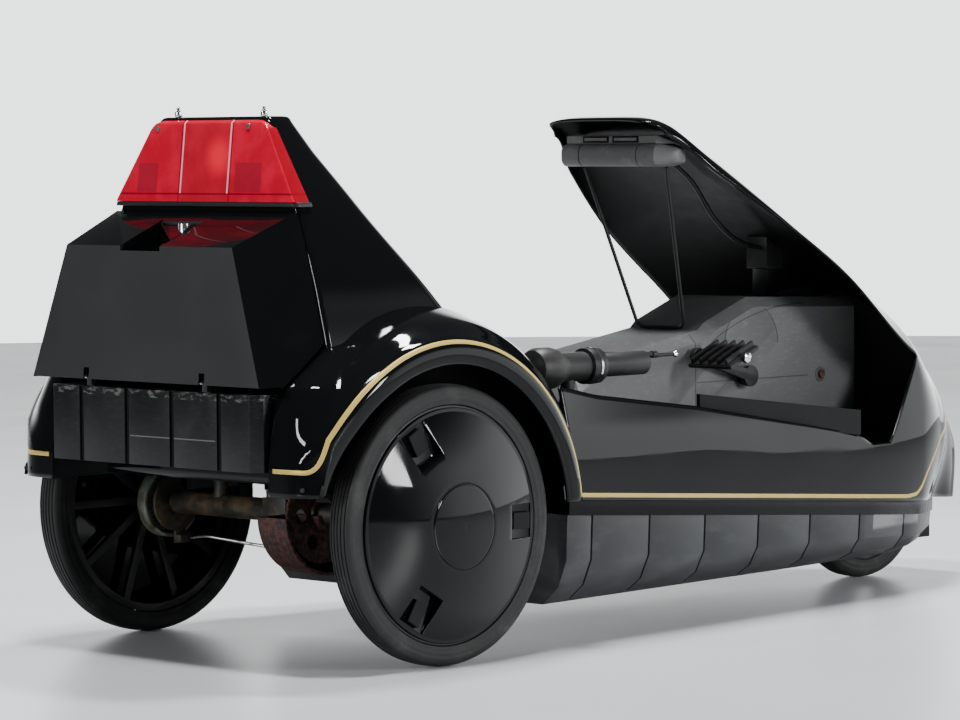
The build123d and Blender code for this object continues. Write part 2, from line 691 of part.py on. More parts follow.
# ---- gearbox casing and its toothed wheel on the rear axle ---------------------------------------------
CASE_R = 88.0
CASE_BOSS = 8.0
with BuildPart() as gear_case:
    with BuildSketch(disc_plane(X_REAR, -28, Z_REAR)):
        Circle(CASE_R)
        with Locations((0, 50)):
            Rectangle(2 * CASE_R, 100, mode=Mode.SUBTRACT)
        Circle(AXLE_TUBE_D / 2 + SEAT_GAP, mode=Mode.SUBTRACT)
    extrude(amount=62)
    with BuildSketch(disc_plane(X_REAR, -46, Z_REAR)):
        Circle(CASE_R - 5)
        with Locations((0, 50)):
            Rectangle(2 * CASE_R, 100, mode=Mode.SUBTRACT)
        Circle(AXLE_TUBE_D / 2 + CASE_BOSS, mode=Mode.SUBTRACT)
    extrude(amount=60, mode=Mode.SUBTRACT)
save(gear_case.part, "gear_case")

GEAR_TEETH = 36
with BuildPart() as gear:
    with BuildSketch(disc_plane(X_REAR, -70, Z_REAR)):
        Circle(72)
        with PolarLocations(74, GEAR_TEETH):
            Circle(3.6, mode=Mode.SUBTRACT)
        with PolarLocations(44, 6):
            Circle(11, mode=Mode.SUBTRACT)
        Circle(AXLE_TUBE_D / 2 + CASE_BOSS + SEAT_GAP, mode=Mode.SUBTRACT)
    extrude(amount=5)
save(gear.part, "drive_gear")

# ---- drum brake at the left wheel --------------------------------------------------------------
DRUM_R = 54.0
with BuildPart() as brake_plate:
    with BuildSketch(disc_plane(X_REAR, 256, Z_REAR)):
        Circle(DRUM_R - 10)
        with Locations((6, -38)):
            Rectangle(20, 50)
        Circle(AXLE_TUBE_D / 2 + SEAT_GAP, mode=Mode.SUBTRACT)
    extrude(amount=5)
    add(block(X_REAR - 4, X_REAR + 16, 240, 256, Z_REAR - 62, Z_REAR - 50))
save(brake_plate.part, "brake_plate")

ROD_D = 5.0
with BuildPart() as brake_rod:
    add(tube_run([(X_REAR + 16.4, 248, Z_REAR - 56), (X_REAR + 49, 246, Z_REAR - 55),
                  (X_REAR + 133, SPINE_W / 2 + 1.1, SPINE_TOP)], [20], ROD_D))
save(brake_rod.part, "brake_rod")

# ---- wheels ------------------------------------------------------------------------------------
RIM_INSET = 4.0             # rim flanges lie inside the tyre's full width
CLIP_ANGLES = (118.0, 2.0, -118.0)
CLIP_R = 134.0
CLIP_LONG = 24.0
CLIP_WIDE = 34.0


def tyre_ring(x, y, z, radius, bead, width):
    """Tyre section turned round the wheel's axis."""
    half = width / 2
    shoulder = half * 0.74
    with BuildPart() as ring:
        with BuildSketch(axle_plane(x, z, y)):
            with BuildLine():
                seg = [(-half + 3, bead), (-half, bead + (radius - bead) * 0.45)]
                Line(seg[0], seg[1])
                ThreePointArc(seg[1], (-half + 2, bead + (radius - bead) * 0.8), (-shoulder, radius - 3))
                ThreePointArc((-shoulder, radius - 3), (0, radius), (shoulder, radius - 3))
                ThreePointArc((shoulder, radius - 3), (half - 2, bead + (radius - bead) * 0.8),
                              (half, bead + (radius - bead) * 0.45))
                Line((half, bead + (radius - bead) * 0.45), (half - 3, bead))
                Line((half - 3, bead), (-half + 3, bead))
            make_face()
            for groove in (-10, -5, 0, 5, 10):
                with Locations((groove, radius)):
                    Rectangle(1.6, 5, mode=Mode.SUBTRACT)
        revolve(axis=Axis((x, y, z), (0, 1, 0)))
    return ring.part


def spoked_rim(x, y, z, bead, width, spokes, spoke_w, bore, hub_y):
    """Rim, flat spokes and hub; hub_y gives the hub's two ends."""
    half = width / 2 - RIM_INSET
    with BuildPart() as rim:
        with BuildSketch(axle_plane(x, z, y)):
            with BuildLine():
                Polyline((-half, bead - SEAT_GAP), (half, bead - SEAT_GAP), (half, bead - 12),
                         (half - RIM_WALL, bead - 12), (half - RIM_WALL - 3, bead - 5),
                         (-half + RIM_WALL + 3, bead - 5), (-half + RIM_WALL, bead - 12),
                         (-half, bead - 12), close=True)
            make_face()
        revolve(axis=Axis((x, y, z), (0, 1, 0)))
        with BuildSketch(disc_plane(x, hub_y[0], z)):
            Circle(HUB_D / 2)
        extrude(amount=-(hub_y[1] - hub_y[0]))
        with BuildSketch(disc_plane(x, y - 4, z)):
            with PolarLocations(0, spokes):
                with Locations(((bead - 5 + 10) / 2, 0)):
                    Rectangle(bead - 4 - 10, spoke_w)
        extrude(amount=-8)
        with BuildSketch(disc_plane(x, hub_y[0] - 1, z)):
            Circle(bore / 2 + FIT)
        extrude(amount=-(hub_y[1] - hub_y[0] + 2), mode=Mode.SUBTRACT)
    return rim.part


def wheel_cover(x, z, side):
    """Thin domed disc with a ring line and three clip pockets."""
    face = REAR_TRACK_HALF + REAR_TYRE_W / 2 - RIM_INSET + SEAT_GAP
    with BuildPart() as dome:
        with BuildSketch(axle_plane(x, z, 0)):
            with BuildLine():
                Line((side * face, COVER_R), (side * (face + COVER_WALL), COVER_R))
                ThreePointArc((side * (face + COVER_WALL), COVER_R),
                              (side * (face + COVER_DOME * 0.74), COVER_R * 0.5),
                              (side * (face + COVER_DOME), 0))
                Line((side * (face + COVER_DOME), 0), (side * (face + COVER_DOME - COVER_WALL), 0))
                ThreePointArc((side * (face + COVER_DOME - COVER_WALL), 0),
                              (side * (face + COVER_DOME * 0.74 - COVER_WALL), COVER_R * 0.5),
                              (side * face, COVER_R - 6))
                Line((side * face, COVER_R - 6), (side * face, COVER_R))
            make_face()
        revolve(axis=Axis((x, 0, z), (0, 1, 0)))
        for angle in CLIP_ANGLES:
            with BuildSketch(disc_plane(x, side * (face - 10), z)):
                with PolarLocations(CLIP_R, 1, start_angle=angle):
                    Rectangle(CLIP_LONG, CLIP_WIDE)
            extrude(amount=-side * 60, mode=Mode.SUBTRACT)
    return dome.part


for side, name in ((1, "left"), (-1, "right")):
    y_mid = side * REAR_TRACK_HALF
    tyre = tyre_ring(X_REAR, y_mid, Z_REAR, REAR_TYRE_R, REAR_BEAD_R, REAR_TYRE_W)
    save(tyre, "tyre_" + name)
    hub_ends = sorted((side * (AXLE_HALF + 6), side * (REAR_TRACK_HALF + 14)))
    rim = spoked_rim(X_REAR, y_mid, Z_REAR, REAR_BEAD_R, REAR_TYRE_W, REAR_SPOKES, 12, REAR_SPINDLE_D,
                     hub_ends)
    save(rim, "rim_" + name)
    cover = wheel_cover(X_REAR, Z_REAR, side)
    save(cover, "cover_" + name)

with BuildPart() as brake_drum:
    with BuildSketch(disc_plane(X_REAR, AXLE_HALF + 1, Z_REAR)):
        Circle(DRUM_R)
        Circle(DRUM_R - 6, mode=Mode.SUBTRACT)
    extrude(amount=-18)
    with BuildSketch(disc_plane(X_REAR, AXLE_HALF + 13, Z_REAR)):
        Circle(DRUM_R)
        Circle(HUB_D / 2 + SEAT_GAP, mode=Mode.SUBTRACT)
    extrude(amount=-6)
save(brake_drum.part, "brake_drum")

front_tyre = tyre_ring(X_FRONT, 0, Z_FRONT, FRONT_TYRE_R, FRONT_BEAD_R, FRONT_TYRE_W)
save(front_tyre, "tyre_front")
front_rim = spoked_rim(X_FRONT, 0, Z_FRONT, FRONT_BEAD_R, FRONT_TYRE_W, FRONT_SPOKES, 16, FRONT_SPINDLE_D,
                       (-20, 20))
save(front_rim, "rim_front")

# ---- fork ----------------------------------------------------------------------------------------
LEG_Y = 31.0
LEG_D = 15.0
DROPOUT_W = 18.0
CROWN_LOW = 156.0
CROWN_T = 10.0
with BuildPart() as fork:
    for side in (1, -1):
        with BuildSketch(steer_plane):
            with Locations((0, side * LEG_Y)):
                Circle(LEG_D / 2)
        extrude(amount=CROWN_LOW + 2)
        add(y_cylinder(X_FRONT, Z_FRONT, 12, side * LEG_Y - DROPOUT_W / 2, side * LEG_Y + DROPOUT_W / 2))
    with BuildSketch(steer_plane.offset(CROWN_LOW)):
        Rectangle(34, 2 * LEG_Y + LEG_D + 4)
    extrude(amount=CROWN_T)
    with BuildSketch(steer_plane.offset(CROWN_LOW + CROWN_T)):
        Circle(STEERER_D / 2)
    extrude(amount=HEAD_HIGH + 22 - CROWN_LOW - CROWN_T)
    add(y_cylinder(X_FRONT, Z_FRONT, FRONT_SPINDLE_D / 2, -46, 46))
save(fork.part, "fork")

with BuildPart() as head_nut:
    with BuildSketch(steer_plane.offset(HEAD_HIGH + SEAT_GAP)):
        RegularPolygon(19, 6)
        Circle(STEERER_D / 2 + FIT, mode=Mode.SUBTRACT)
    extrude(amount=9)
save(head_nut.part, "head_nut")

# ---- wheel housing round the front wheel and the bulkhead behind it ---------------------------------
HOUSE_R = 172.0
HOUSE_W = WELL_CLEAR + 4.0
HOUSE_END = X_FRONT + 94
with BuildPart() as housing:
    with BuildSketch(disc_plane(X_FRONT, -HOUSE_W, Z_FRONT)):
        Circle(HOUSE_R + 3)
        with Locations((HOUSE_END - X_FRONT + 100, 0)):
            Rectangle(200, 600, mode=Mode.SUBTRACT)
        with Locations((0, -300 - (Z_FRONT - SPINE_Z))):
            Rectangle(600, 600, mode=Mode.SUBTRACT)
    extrude(amount=-2 * HOUSE_W)
    with BuildSketch(disc_plane(X_FRONT, -WELL_CLEAR - 1, Z_FRONT)):
        Circle(HOUSE_R)
        with Locations((0, -200)):
            Rectangle(2 * HOUSE_R, 400)
    extrude(amount=-2 * (WELL_CLEAR + 1), mode=Mode.SUBTRACT)
    with BuildSketch(steer_plane.offset(120)):
        Circle(HEAD_TUBE_D / 2 + 1)
    extrude(amount=120, mode=Mode.SUBTRACT)
save(housing.part, "wheel_housing")

with BuildPart() as bulkhead:
    with BuildSketch(Plane(origin=(BULK_X, 0, 0), x_dir=(0, 1, 0), z_dir=(1, 0, 0))):
        with BuildLine():
            Polyline((-213, 386), (-231, 252), (-212, 142), (-208, 100), (-189, 82), (-158, SPINE_Z),
                     (158, SPINE_Z), (189, 82), (208, 100), (212, 142), (231, 252), (213, 386))
            ThreePointArc((213, 386), (0, 496), (-213, 386))
        make_face()
        with Locations((0, 180)):
            Rectangle(2 * (HOUSE_W + SEAT_GAP), 240, mode=Mode.SUBTRACT)
        with Locations((0, 360)):
            Rectangle(41, 41, mode=Mode.SUBTRACT)
    extrude(amount=4)
save(bulkhead.part, "front_bulkhead")

# ---- centre console ----------------------------------------------------------------------------
CONSOLE_W = 90.0
CONSOLE = at_all([(-150, SPINE_Z), (-150, 300), (-86, 300), (-62, 372), (0, 402), (222, 438), (234, 449),
                  (335, 487)]) + [(BULK_X, 480), (BULK_X, SPINE_Z)]
CONSOLE_IN = at_all([(-147, 40), (-147, 297), (-84, 297), (-60, 369), (1, 399), (223, 435), (236, 446),
                     (336, 484)]) + [(BULK_X + 10, 477), (BULK_X + 10, 40)]
CONSOLE_LOW = at_all([(-147, 40), (-147, 280), (-62, 280), (-60, 348), (2, 378), (224, 414), (237, 425),
                      (336, 462)]) + [(BULK_X + 10, 455), (BULK_X + 10, 40)]


def console_top(x):
    """Height of the console's upper outline."""
    ridge = CONSOLE[3:-1]
    for (x0, z0), (x1, z1) in zip(ridge, ridge[1:]):
        if x0 <= x <= x1:
            return z0 + (z1 - z0) * (x - x0) / (x1 - x0)
    return ridge[-1][1]


with BuildPart() as console:
    add(side_slab(CONSOLE, -CONSOLE_W, CONSOLE_W))
    roof = console.faces().filter_by(lambda f: f.normal_at().Z > 0.5 and f.center().X > CONSOLE[3][0])
    edges = [e for f in roof for e in f.edges() if abs(abs(e.center().Y) - CONSOLE_W) < 0.1]
    chamfer(edges, 16)
    add(side_slab(CONSOLE_IN, -CONSOLE_W + 13, CONSOLE_W - 13), mode=Mode.SUBTRACT)
    add(side_slab(CONSOLE_LOW, -CONSOLE_W + 3, CONSOLE_W - 3), mode=Mode.SUBTRACT)
    with BuildSketch(Plane.XY.offset(290)):
        with Locations((BAR_X, 0)):
            Circle(POST_D / 2 + SEAT_GAP)
    extrude(amount=20, mode=Mode.SUBTRACT)
    add(y_cylinder(CRANK_X, CRANK_Z, 14, -100, 100), mode=Mode.SUBTRACT)
    add(block(CONSOLE[0][0] - 10, CONSOLE[0][0] + 10, -SPINE_W / 2 - 3, SPINE_W / 2 + 3, 40, SPINE_TOP + 4),
        mode=Mode.SUBTRACT)
    for side in (1, -1):
        with BuildSketch(disc_plane(CRANK_X + 22, side * CONSOLE_W, 411)):
            Circle(66)
            Circle(63.5, mode=Mode.SUBTRACT)
            with Locations((0, -50)):
                Rectangle(140, 100, mode=Mode.SUBTRACT)
        extrude(amount=side * 1.0, mode=Mode.SUBTRACT)
save(console.part, "console")

# ---- seat base and battery ----------------------------------------------------------------------
SEAT_FRONT = at(-153)
SEAT_OUT = at_all([(-322, SPINE_Z), (-322, 251), (-190, 232), (-165, 224)]) + [
    (SEAT_FRONT, 200), (SEAT_FRONT, SPINE_Z)]
SEAT_IN = at_all([(-330, 40), (-330, 248.8), (-191, 229), (-167, 221.5)]) + [
    (SEAT_FRONT - 3, 199), (SEAT_FRONT - 3, 40)]
SEAT_W = 228.0
with BuildPart() as seat_base:
    add(side_slab(SEAT_OUT, -SEAT_W, SEAT_W))
    add(side_slab(SEAT_IN, -SEAT_W + 3, SEAT_W - 3), mode=Mode.SUBTRACT)
    add(block(SEAT_FRONT - 10, SEAT_FRONT + 5, -SPINE_W / 2 - 3, SPINE_W / 2 + 3, 40, SPINE_TOP + 4),
        mode=Mode.SUBTRACT)
save(seat_base.part, "seat_base")

with BuildPart() as battery:
    add(block(SEAT_OUT[0][0] + 12, SEAT_FRONT - 17, SPINE_W / 2 + 5, SEAT_W - 18, SPINE_Z, 220))
save(battery.part, "battery")

# ---- cranks and pedals --------------------------------------------------------------------------
PEDAL_X = CRANK_X - 124
PEDAL_Z = CRANK_Z + 38
ARM_Y = (99.0, 110.0)
SPINDLE_D = 12.0
PEDAL_Y = (114.0, 206.0)
crank_dx = PEDAL_X - CRANK_X
crank_dz = PEDAL_Z - CRANK_Z


def crank_arm(side):
    """Arm with its pedal spindle; the left one points the other way."""
    dx = -side * crank_dx
    dz = -side * crank_dz
    length = hypot(dx, dz)
    arm_plane = Plane(origin=(CRANK_X, side * ARM_Y[0], CRANK_Z), x_dir=(dx / length, 0, dz / length),
                      z_dir=(0, side, 0))
    with BuildPart() as arm:
        with BuildSketch(arm_plane):
            Circle(17)
            with Locations((length, 0)):
                Circle(12)
            with Locations((length / 2, 0)):
                Rectangle(length, 18)
        extrude(amount=ARM_Y[1] - ARM_Y[0])
        low, high = sorted((side * ARM_Y[0], side * (PEDAL_Y[1] + 0.3)))
        add(y_cylinder(CRANK_X + dx, CRANK_Z + dz, SPINDLE_D / 2, low, high))
        low, high = sorted((side * (PEDAL_Y[1] + 0.3), side * (PEDAL_Y[1] + 6)))
        add(y_cylinder(CRANK_X + dx, CRANK_Z + dz, 9, low, high))
    return arm.part


with BuildPart() as crankset:
    add(y_cylinder(CRANK_X, CRANK_Z, CRANK_AXLE_D / 2, -ARM_Y[1], ARM_Y[1]))
    add(crank_arm(1))
    add(crank_arm(-1))
save(crankset.part, "crankset")


def pedal(side):
    dx = -side * crank_dx
    dz = -side * crank_dz
    x = CRANK_X + dx
    z = CRANK_Z + dz
    low, high = sorted((side * PEDAL_Y[0], side * PEDAL_Y[1]))
    with BuildPart() as cage:
        add(y_cylinder(x, z, 11, low, high))
        add(block(x - 38, x - 30, low, high, z - 9, z + 9))
        add(block(x + 30, x + 38, low, high, z - 9, z + 9))
        for i in range(5):
            y = low + 6 + i * (high - low - 12) / 4
            add(block(x - 34, x + 34, y - 3, y + 3, z - 11, z + 11))
        add(y_cylinder(x, z, SPINDLE_D / 2 + FIT, low - 5, high + 5), mode=Mode.SUBTRACT)
    return cage.part


for side, name in ((1, "left"), (-1, "right")):
    save(pedal(side), "pedal_" + name)

# ---- handlebar ----------------------------------------------------------------------------------
BAR_D = 22.0
GRIP_Y = 236.0
GRIP_Z = 405.0
GRIP_END = BAR_X + 27
GRIP_START = GRIP_END - 103
RISER_X = BAR_X - 138
with BuildPart() as bar:
    with BuildSketch(Plane.XY.offset(POST_TOP + SEAT_GAP)):
        with Locations((BAR_X, 0)):
            Circle(20)
    extrude(amount=BAR_Z + 14 - POST_TOP)
    with BuildSketch(Plane.XY.offset(POST_TOP - 40)):
        with Locations((BAR_X, 0)):
            Circle(STEM_D / 2)
    extrude(amount=45)
    for side in (1, -1):
        add(tube_run([(BAR_X, 0, BAR_Z), (RISER_X + 30, side * (GRIP_Y - 40), BAR_Z),
                      (RISER_X, side * GRIP_Y, BAR_Z + 30), (RISER_X, side * GRIP_Y, GRIP_Z),
                      (GRIP_END - 8, side * GRIP_Y, GRIP_Z)], [34, 20, 20], BAR_D))
save(bar.part, "handlebar")


def x_sleeve(x0, x1, y, z, radius, bore):
    with BuildPart() as sleeve:
        with BuildSketch(Plane(origin=(x0, y, z), x_dir=(0, 1, 0), z_dir=(1, 0, 0))):
            Circle(radius)
            if bore:
                Circle(bore / 2, mode=Mode.SUBTRACT)
        extrude(amount=x1 - x0)
    return sleeve.part


with BuildPart() as grips:
    for side in (1, -1):
        add(x_sleeve(GRIP_START, GRIP_END, side * GRIP_Y, GRIP_Z, 18, BAR_D + 0.1))
        add(x_sleeve(GRIP_END - 7.5, GRIP_END, side * GRIP_Y, GRIP_Z, 17, 0))
save(grips.part, "handlebar_grips")

with BuildPart() as clamps:
    for side in (1, -1):
        add(x_sleeve(GRIP_START - 28, GRIP_START - 1, side * GRIP_Y, GRIP_Z, 27, BAR_D + 0.1))
        add(block(GRIP_START - 26, GRIP_START - 1, min(side * (GRIP_Y - 34), side * (GRIP_Y - 20)),
                  max(side * (GRIP_Y - 34), side * (GRIP_Y - 20)), GRIP_Z + 2, GRIP_Z + 20))
save(clamps.part, "bar_clamps")

with BuildPart() as levers:
    for side in (1, -1):
        y = side * (GRIP_Y - 28)
        add(tube_run([(GRIP_START - 0.6, y, GRIP_Z + 11), (GRIP_START + 36, y, GRIP_Z + 14),
                      (GRIP_START + 154, y, GRIP_Z + 9)], [60], 8))
        with BuildSketch(Plane(origin=(GRIP_START + 153, y, GRIP_Z + 9), x_dir=(0, 1, 0), z_dir=(1, 0, 0))):
            Circle(5.5)
        extrude(amount=9)
save(levers.part, "brake_levers")

# ---- instrument pod, stay wire, junction post and its lead -------------------------------------------
POD_LOW = 699.0
POD_BACK = at(90)
POD_FACE = POD_BACK + 50
with BuildPart() as pod:
    with BuildSketch(Plane.XY.offset(POD_LOW)):
        with BuildLine():
            Polyline((POD_BACK, 132), (POD_BACK + 6, 146), (POD_FACE, 146), (POD_FACE, -146),
                     (POD_BACK + 6, -146), (POD_BACK, -132), close=True)
        make_face()
    extrude(amount=24)
    with BuildSketch(Plane.XY.offset(POD_LOW + 23)):
        with BuildLine():
            Polyline((POD_BACK + 6, 92), (POD_FACE, 104), (POD_FACE, -104), (POD_BACK + 6, -92), close=True)
        make_face()
    extrude(amount=60)
    add(SHELL_IN.moved(Location((0, 0, -SEAT_GAP))), mode=Mode.INTERSECT)
save(pod.part, "instrument_pod")

WIRE_D = 6.0
WIRE_X = at(216)
WIRE_TOP_X = POD_FACE - 6
with BuildPart() as wire:
    foot_z = console_top(WIRE_X + WIRE_D / 2) + WIRE_D / 2 + 0.2
    add(tube_run([(WIRE_TOP_X, 88, POD_LOW - 1.3), (WIRE_X, 50, foot_z), (WIRE_X, -50, foot_z),
                  (WIRE_TOP_X, -88, POD_LOW - 1.3)], [16, 16], WIRE_D))
save(wire.part, "stay_wire")

POST_X = MAST_X - 12
with BuildPart() as post:
    low_rear = console_top(POST_X - 13) + SEAT_GAP
    low_front = console_top(POST_X + 13) + SEAT_GAP
    add(side_slab([(POST_X - 13, low_rear), (POST_X + 13, low_front), (POST_X + 13, 530), (POST_X - 13, 530)],
                  -15, 15))
    with BuildSketch(Plane.XY.offset(529)):
        with Locations((POST_X, 0)):
            Rectangle(40, 44)
    extrude(amount=100)
    add(SHELL_IN.moved(Location((0, 0, -SEAT_GAP))), mode=Mode.INTERSECT)
save(post.part, "junction_post")

CABLE_D = 8.0
CABLE = [(POD_FACE + 10, -52, 707), (at(190), -52, 704), (at(245), -46, 672), (at(292), -38, 622),
         (at(342), -30, 588), (at(396), -18, 570), (POST_X - 21.1, -8, 563)]
with BuildPart() as cable:
    radii = []
    for a, b, c in zip(CABLE, CABLE[1:], CABLE[2:]):
        u = Vector(*b) - Vector(*a)
        v = Vector(*c) - Vector(*b)
        turn = u.get_angle(v)
        radii.append(0.45 * min(u.length, v.length) / tan(radians(turn / 2)))
    add(tube_run(CABLE, radii, CABLE_D))
save(cable.part, "pod_cable")

# ---- headlamp -----------------------------------------------------------------------------------
with BuildPart() as headlamp:
    add(block(LAMP_BACK + SEAT_GAP, LAMP_FACE, -LAMP_W, LAMP_W, LAMP_LOW + SEAT_GAP, LAMP_HIGH - SEAT_GAP))
save(headlamp.part, "headlamp")
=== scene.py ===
# %% [markdown]
# # A low three wheeled car
# The car is built twice. The CAD model gives every solid its true size and place, and it is loaded here
# as a fixed frame. This script then dresses it: large glossy panels are made again as smooth Blender
# meshes, small parts keep their CAD mesh, and every surface gets a finish made from shader nodes.
# All lengths are metres, X points to the nose, Y to the car's left and Z up.

# %% Load the frame
from math import asin, copysign, cos, pi, radians, sin, sqrt

import bmesh
import bpy
from mathutils import Matrix, Vector


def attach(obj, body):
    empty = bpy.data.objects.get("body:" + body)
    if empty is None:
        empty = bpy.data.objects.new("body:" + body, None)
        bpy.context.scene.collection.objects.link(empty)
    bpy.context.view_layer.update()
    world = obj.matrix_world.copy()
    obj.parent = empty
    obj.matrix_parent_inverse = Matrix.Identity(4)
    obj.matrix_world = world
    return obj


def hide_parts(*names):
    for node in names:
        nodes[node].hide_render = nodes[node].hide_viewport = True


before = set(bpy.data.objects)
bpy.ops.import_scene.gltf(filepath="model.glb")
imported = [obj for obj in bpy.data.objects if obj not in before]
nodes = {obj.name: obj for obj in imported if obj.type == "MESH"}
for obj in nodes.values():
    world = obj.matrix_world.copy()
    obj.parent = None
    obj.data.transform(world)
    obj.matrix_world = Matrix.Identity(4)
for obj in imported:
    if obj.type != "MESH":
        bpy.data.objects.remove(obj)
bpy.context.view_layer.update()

MM = 0.001

# %% [markdown]
# ## Shader sums as plain expressions
# A finish is mostly sums: noise times a strength, plus a base value. Wired by hand each sum is a node and
# two links. Here one small class wraps a socket, so `0.3 + 0.2 * speckle` adds its own Math nodes.


# %% A socket that can be added and multiplied
def operator(kind, swapped=False):
    """The method for one sign; its reflected form has the numbers the other way round."""
    def work(self, other):
        return self.finish.maths(kind, *((other, self) if swapped else (self, other)))
    return work


class Value:
    """One socket's value; arithmetic on it adds Math nodes."""

    def __init__(self, finish, socket):
        self.finish = finish
        self.socket = socket

    __add__, __radd__ = operator("ADD"), operator("ADD", swapped=True)
    __sub__, __rsub__ = operator("SUBTRACT"), operator("SUBTRACT", swapped=True)
    __mul__, __rmul__ = operator("MULTIPLY"), operator("MULTIPLY", swapped=True)
    __gt__ = operator("GREATER_THAN")


class Finish:
    """A material under construction, with short ways to add its nodes."""

    def __init__(self, name, **surface):
        self.material = bpy.data.materials.new(name)
        self.material.use_nodes = True
        self.tree = self.material.node_tree
        self.surface = self.tree.nodes["Principled BSDF"]
        for key, value in surface.items():
            self.set(key.replace("_", " ").title().replace("Ior", "IOR"), value)

    def set(self, socket, value):
        if isinstance(value, Value):
            self.tree.links.new(value.socket, self.surface.inputs[socket])
        elif isinstance(value, tuple) and len(value) == 3:
            self.surface.inputs[socket].default_value = (*value, 1.0)
        else:
            self.surface.inputs[socket].default_value = value

    def node(self, kind, settings=None, sockets=None, out=0):
        """Any node: its settings first, then values or links for its sockets."""
        made = self.tree.nodes.new(kind)
        for key, value in (settings or {}).items():
            setattr(made, key, value)
        for key, value in (sockets or {}).items():
            if isinstance(value, Value):
                self.tree.links.new(value.socket, made.inputs[key])
            else:
                made.inputs[key].default_value = value
        return Value(self, made.outputs[out])

    def place(self):
        """Position on the piece, in metres."""
        return self.node("ShaderNodeTexCoord", out="Object")

    def axis(self, index):
        """One of the place's three numbers, by its index."""
        return self.node("ShaderNodeSeparateXYZ", {}, {0: self.place()}, out=index)

    def maths(self, operation, *numbers):
        return self.node("ShaderNodeMath", {"operation": operation}, dict(enumerate(numbers)))

    def vector(self, operation, a, b, out=0):
        return self.node("ShaderNodeVectorMath", {"operation": operation}, {0: a, 1: b}, out)

    def noise(self, scale, detail=3.0, rough=0.55, stretch=None):
        where = self.vector("MULTIPLY", self.place(), stretch) if stretch else self.place()
        return self.node("ShaderNodeTexNoise", {},
                         {"Vector": where, "Scale": scale, "Detail": detail, "Roughness": rough})

    def band(self, value, low, high):
        """0 below low, 1 above high, smooth between."""
        return self.node("ShaderNodeMapRange", {"interpolation_type": "SMOOTHSTEP"},
                         {"Value": value, "From Min": low, "From Max": high})

    def mix(self, factor, a, b):
        """Colour a where factor is 0, colour b where it is 1."""
        colours = [c if isinstance(c, Value) else (*c, 1.0) for c in (a, b)]
        return self.node("ShaderNodeMix", {"data_type": "RGBA"},
                         {0: factor, 6: colours[0], 7: colours[1]}, out=2)

    def near(self, value, target, reach):
        """1 where the value is within reach of the target."""
        return self.maths("COMPARE", value, target, reach)

    def size(self, value):
        """The value without its sign."""
        return self.maths("ABSOLUTE", value)

    def box(self, value, low, high):
        """1 where the value is between low and high."""
        return self.near(value, (low + high) / 2, (high - low) / 2)

    def bump(self, height, strength, distance):
        self.set("Normal", self.node("ShaderNodeBump", {}, {"Height": height, "Strength": strength,
                                                            "Distance": distance}))


print("ways to add nodes:", ", ".join(way for way in vars(Finish) if way[0] != "_"))

# %% [markdown]
# ## Meshes from rules
# Most panels follow a rule: sections along the body, rings round a wheel, a profile turned about an
# axle. Each helper below turns such a rule, given in millimetres, into a mesh in metres whose object is
# at the origin. Every finished piece is then fitted: it goes under the body that carries it, and the CAD
# nodes it stands for are hidden.


# %% Objects and modifiers
def add_object(name, data):
    """Puts a mesh, lamp or camera into the scene."""
    made = bpy.data.objects.new(name, data)
    bpy.context.scene.collection.objects.link(made)
    return made


def to_object(name, bm):
    """Ends the building of a mesh and puts it into the scene."""
    mesh = bpy.data.meshes.new(name)
    bm.to_mesh(mesh)
    bm.free()
    return add_object(name, mesh)


def shade(mesh, crease):
    """Smooth shading, apart from edges whose faces meet at more than `crease` degrees."""
    mesh.set_sharp_from_angle(angle=radians(crease))
    for face in mesh.polygons:
        face.use_smooth = True


def modify(piece, kind, **settings):
    """Adds one modifier with its settings."""
    modifier = piece.modifiers.new(kind.title(), kind)
    for key, value in settings.items():
        setattr(modifier, key, value)
    return modifier


def settle(piece):
    """Bakes the modifiers into a plain mesh."""
    bpy.context.view_layer.update()
    graph = bpy.context.evaluated_depsgraph_get()
    mesh = bpy.data.meshes.new_from_object(piece.evaluated_get(graph), depsgraph=graph)
    piece.modifiers.clear()
    old = piece.data
    piece.data = mesh
    bpy.data.meshes.remove(old)


def reshape(piece, kind, **settings):
    """One modifier, baked at once."""
    modify(piece, kind, **settings)
    settle(piece)


def wall(piece, thickness, lining=None):
    """Gives an open skin its thickness, inwards; a lining is the finish of the inner side."""
    if lining:
        piece.data.materials.append(lining.material)
    reshape(piece, "SOLIDIFY", thickness=thickness * MM, offset=-1.0, material_offset=1 if lining else 0)


def carve(piece, bm):
    """Takes a block, given in millimetres, away from a piece."""
    bmesh.ops.scale(bm, vec=(MM,) * 3, verts=bm.verts)
    cutter = to_object("cutter", bm)
    reshape(piece, "BOOLEAN", operation="DIFFERENCE", object=cutter, solver="EXACT")
    bpy.data.objects.remove(cutter)


def fit(piece, body, slot_name, *stands_for):
    """Puts the piece under the body that carries it and hides the CAD nodes it stands for."""
    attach(piece, body)
    if stands_for:
        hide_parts(*stands_for)


print("a millimetre is", MM, "m")

# %% Meshes from rows of points
SIDES = ((-1, "right"), (1, "left"))
MERGE, SAME = 0.01, 1e-7  # distances in millimetres at which points become one, or count as one


def finish_mesh(name, bm, finish, smooth=40):
    """Makes the piece: normals outward, smooth where faces meet at less than `smooth` degrees."""
    bmesh.ops.remove_doubles(bm, verts=bm.verts, dist=MERGE)
    bmesh.ops.recalc_face_normals(bm, faces=bm.faces)
    bmesh.ops.scale(bm, vec=(MM,) * 3, verts=bm.verts)
    piece = to_object(name, bm)
    piece.data.materials.append(finish.material)
    shade(piece.data, smooth)
    return piece


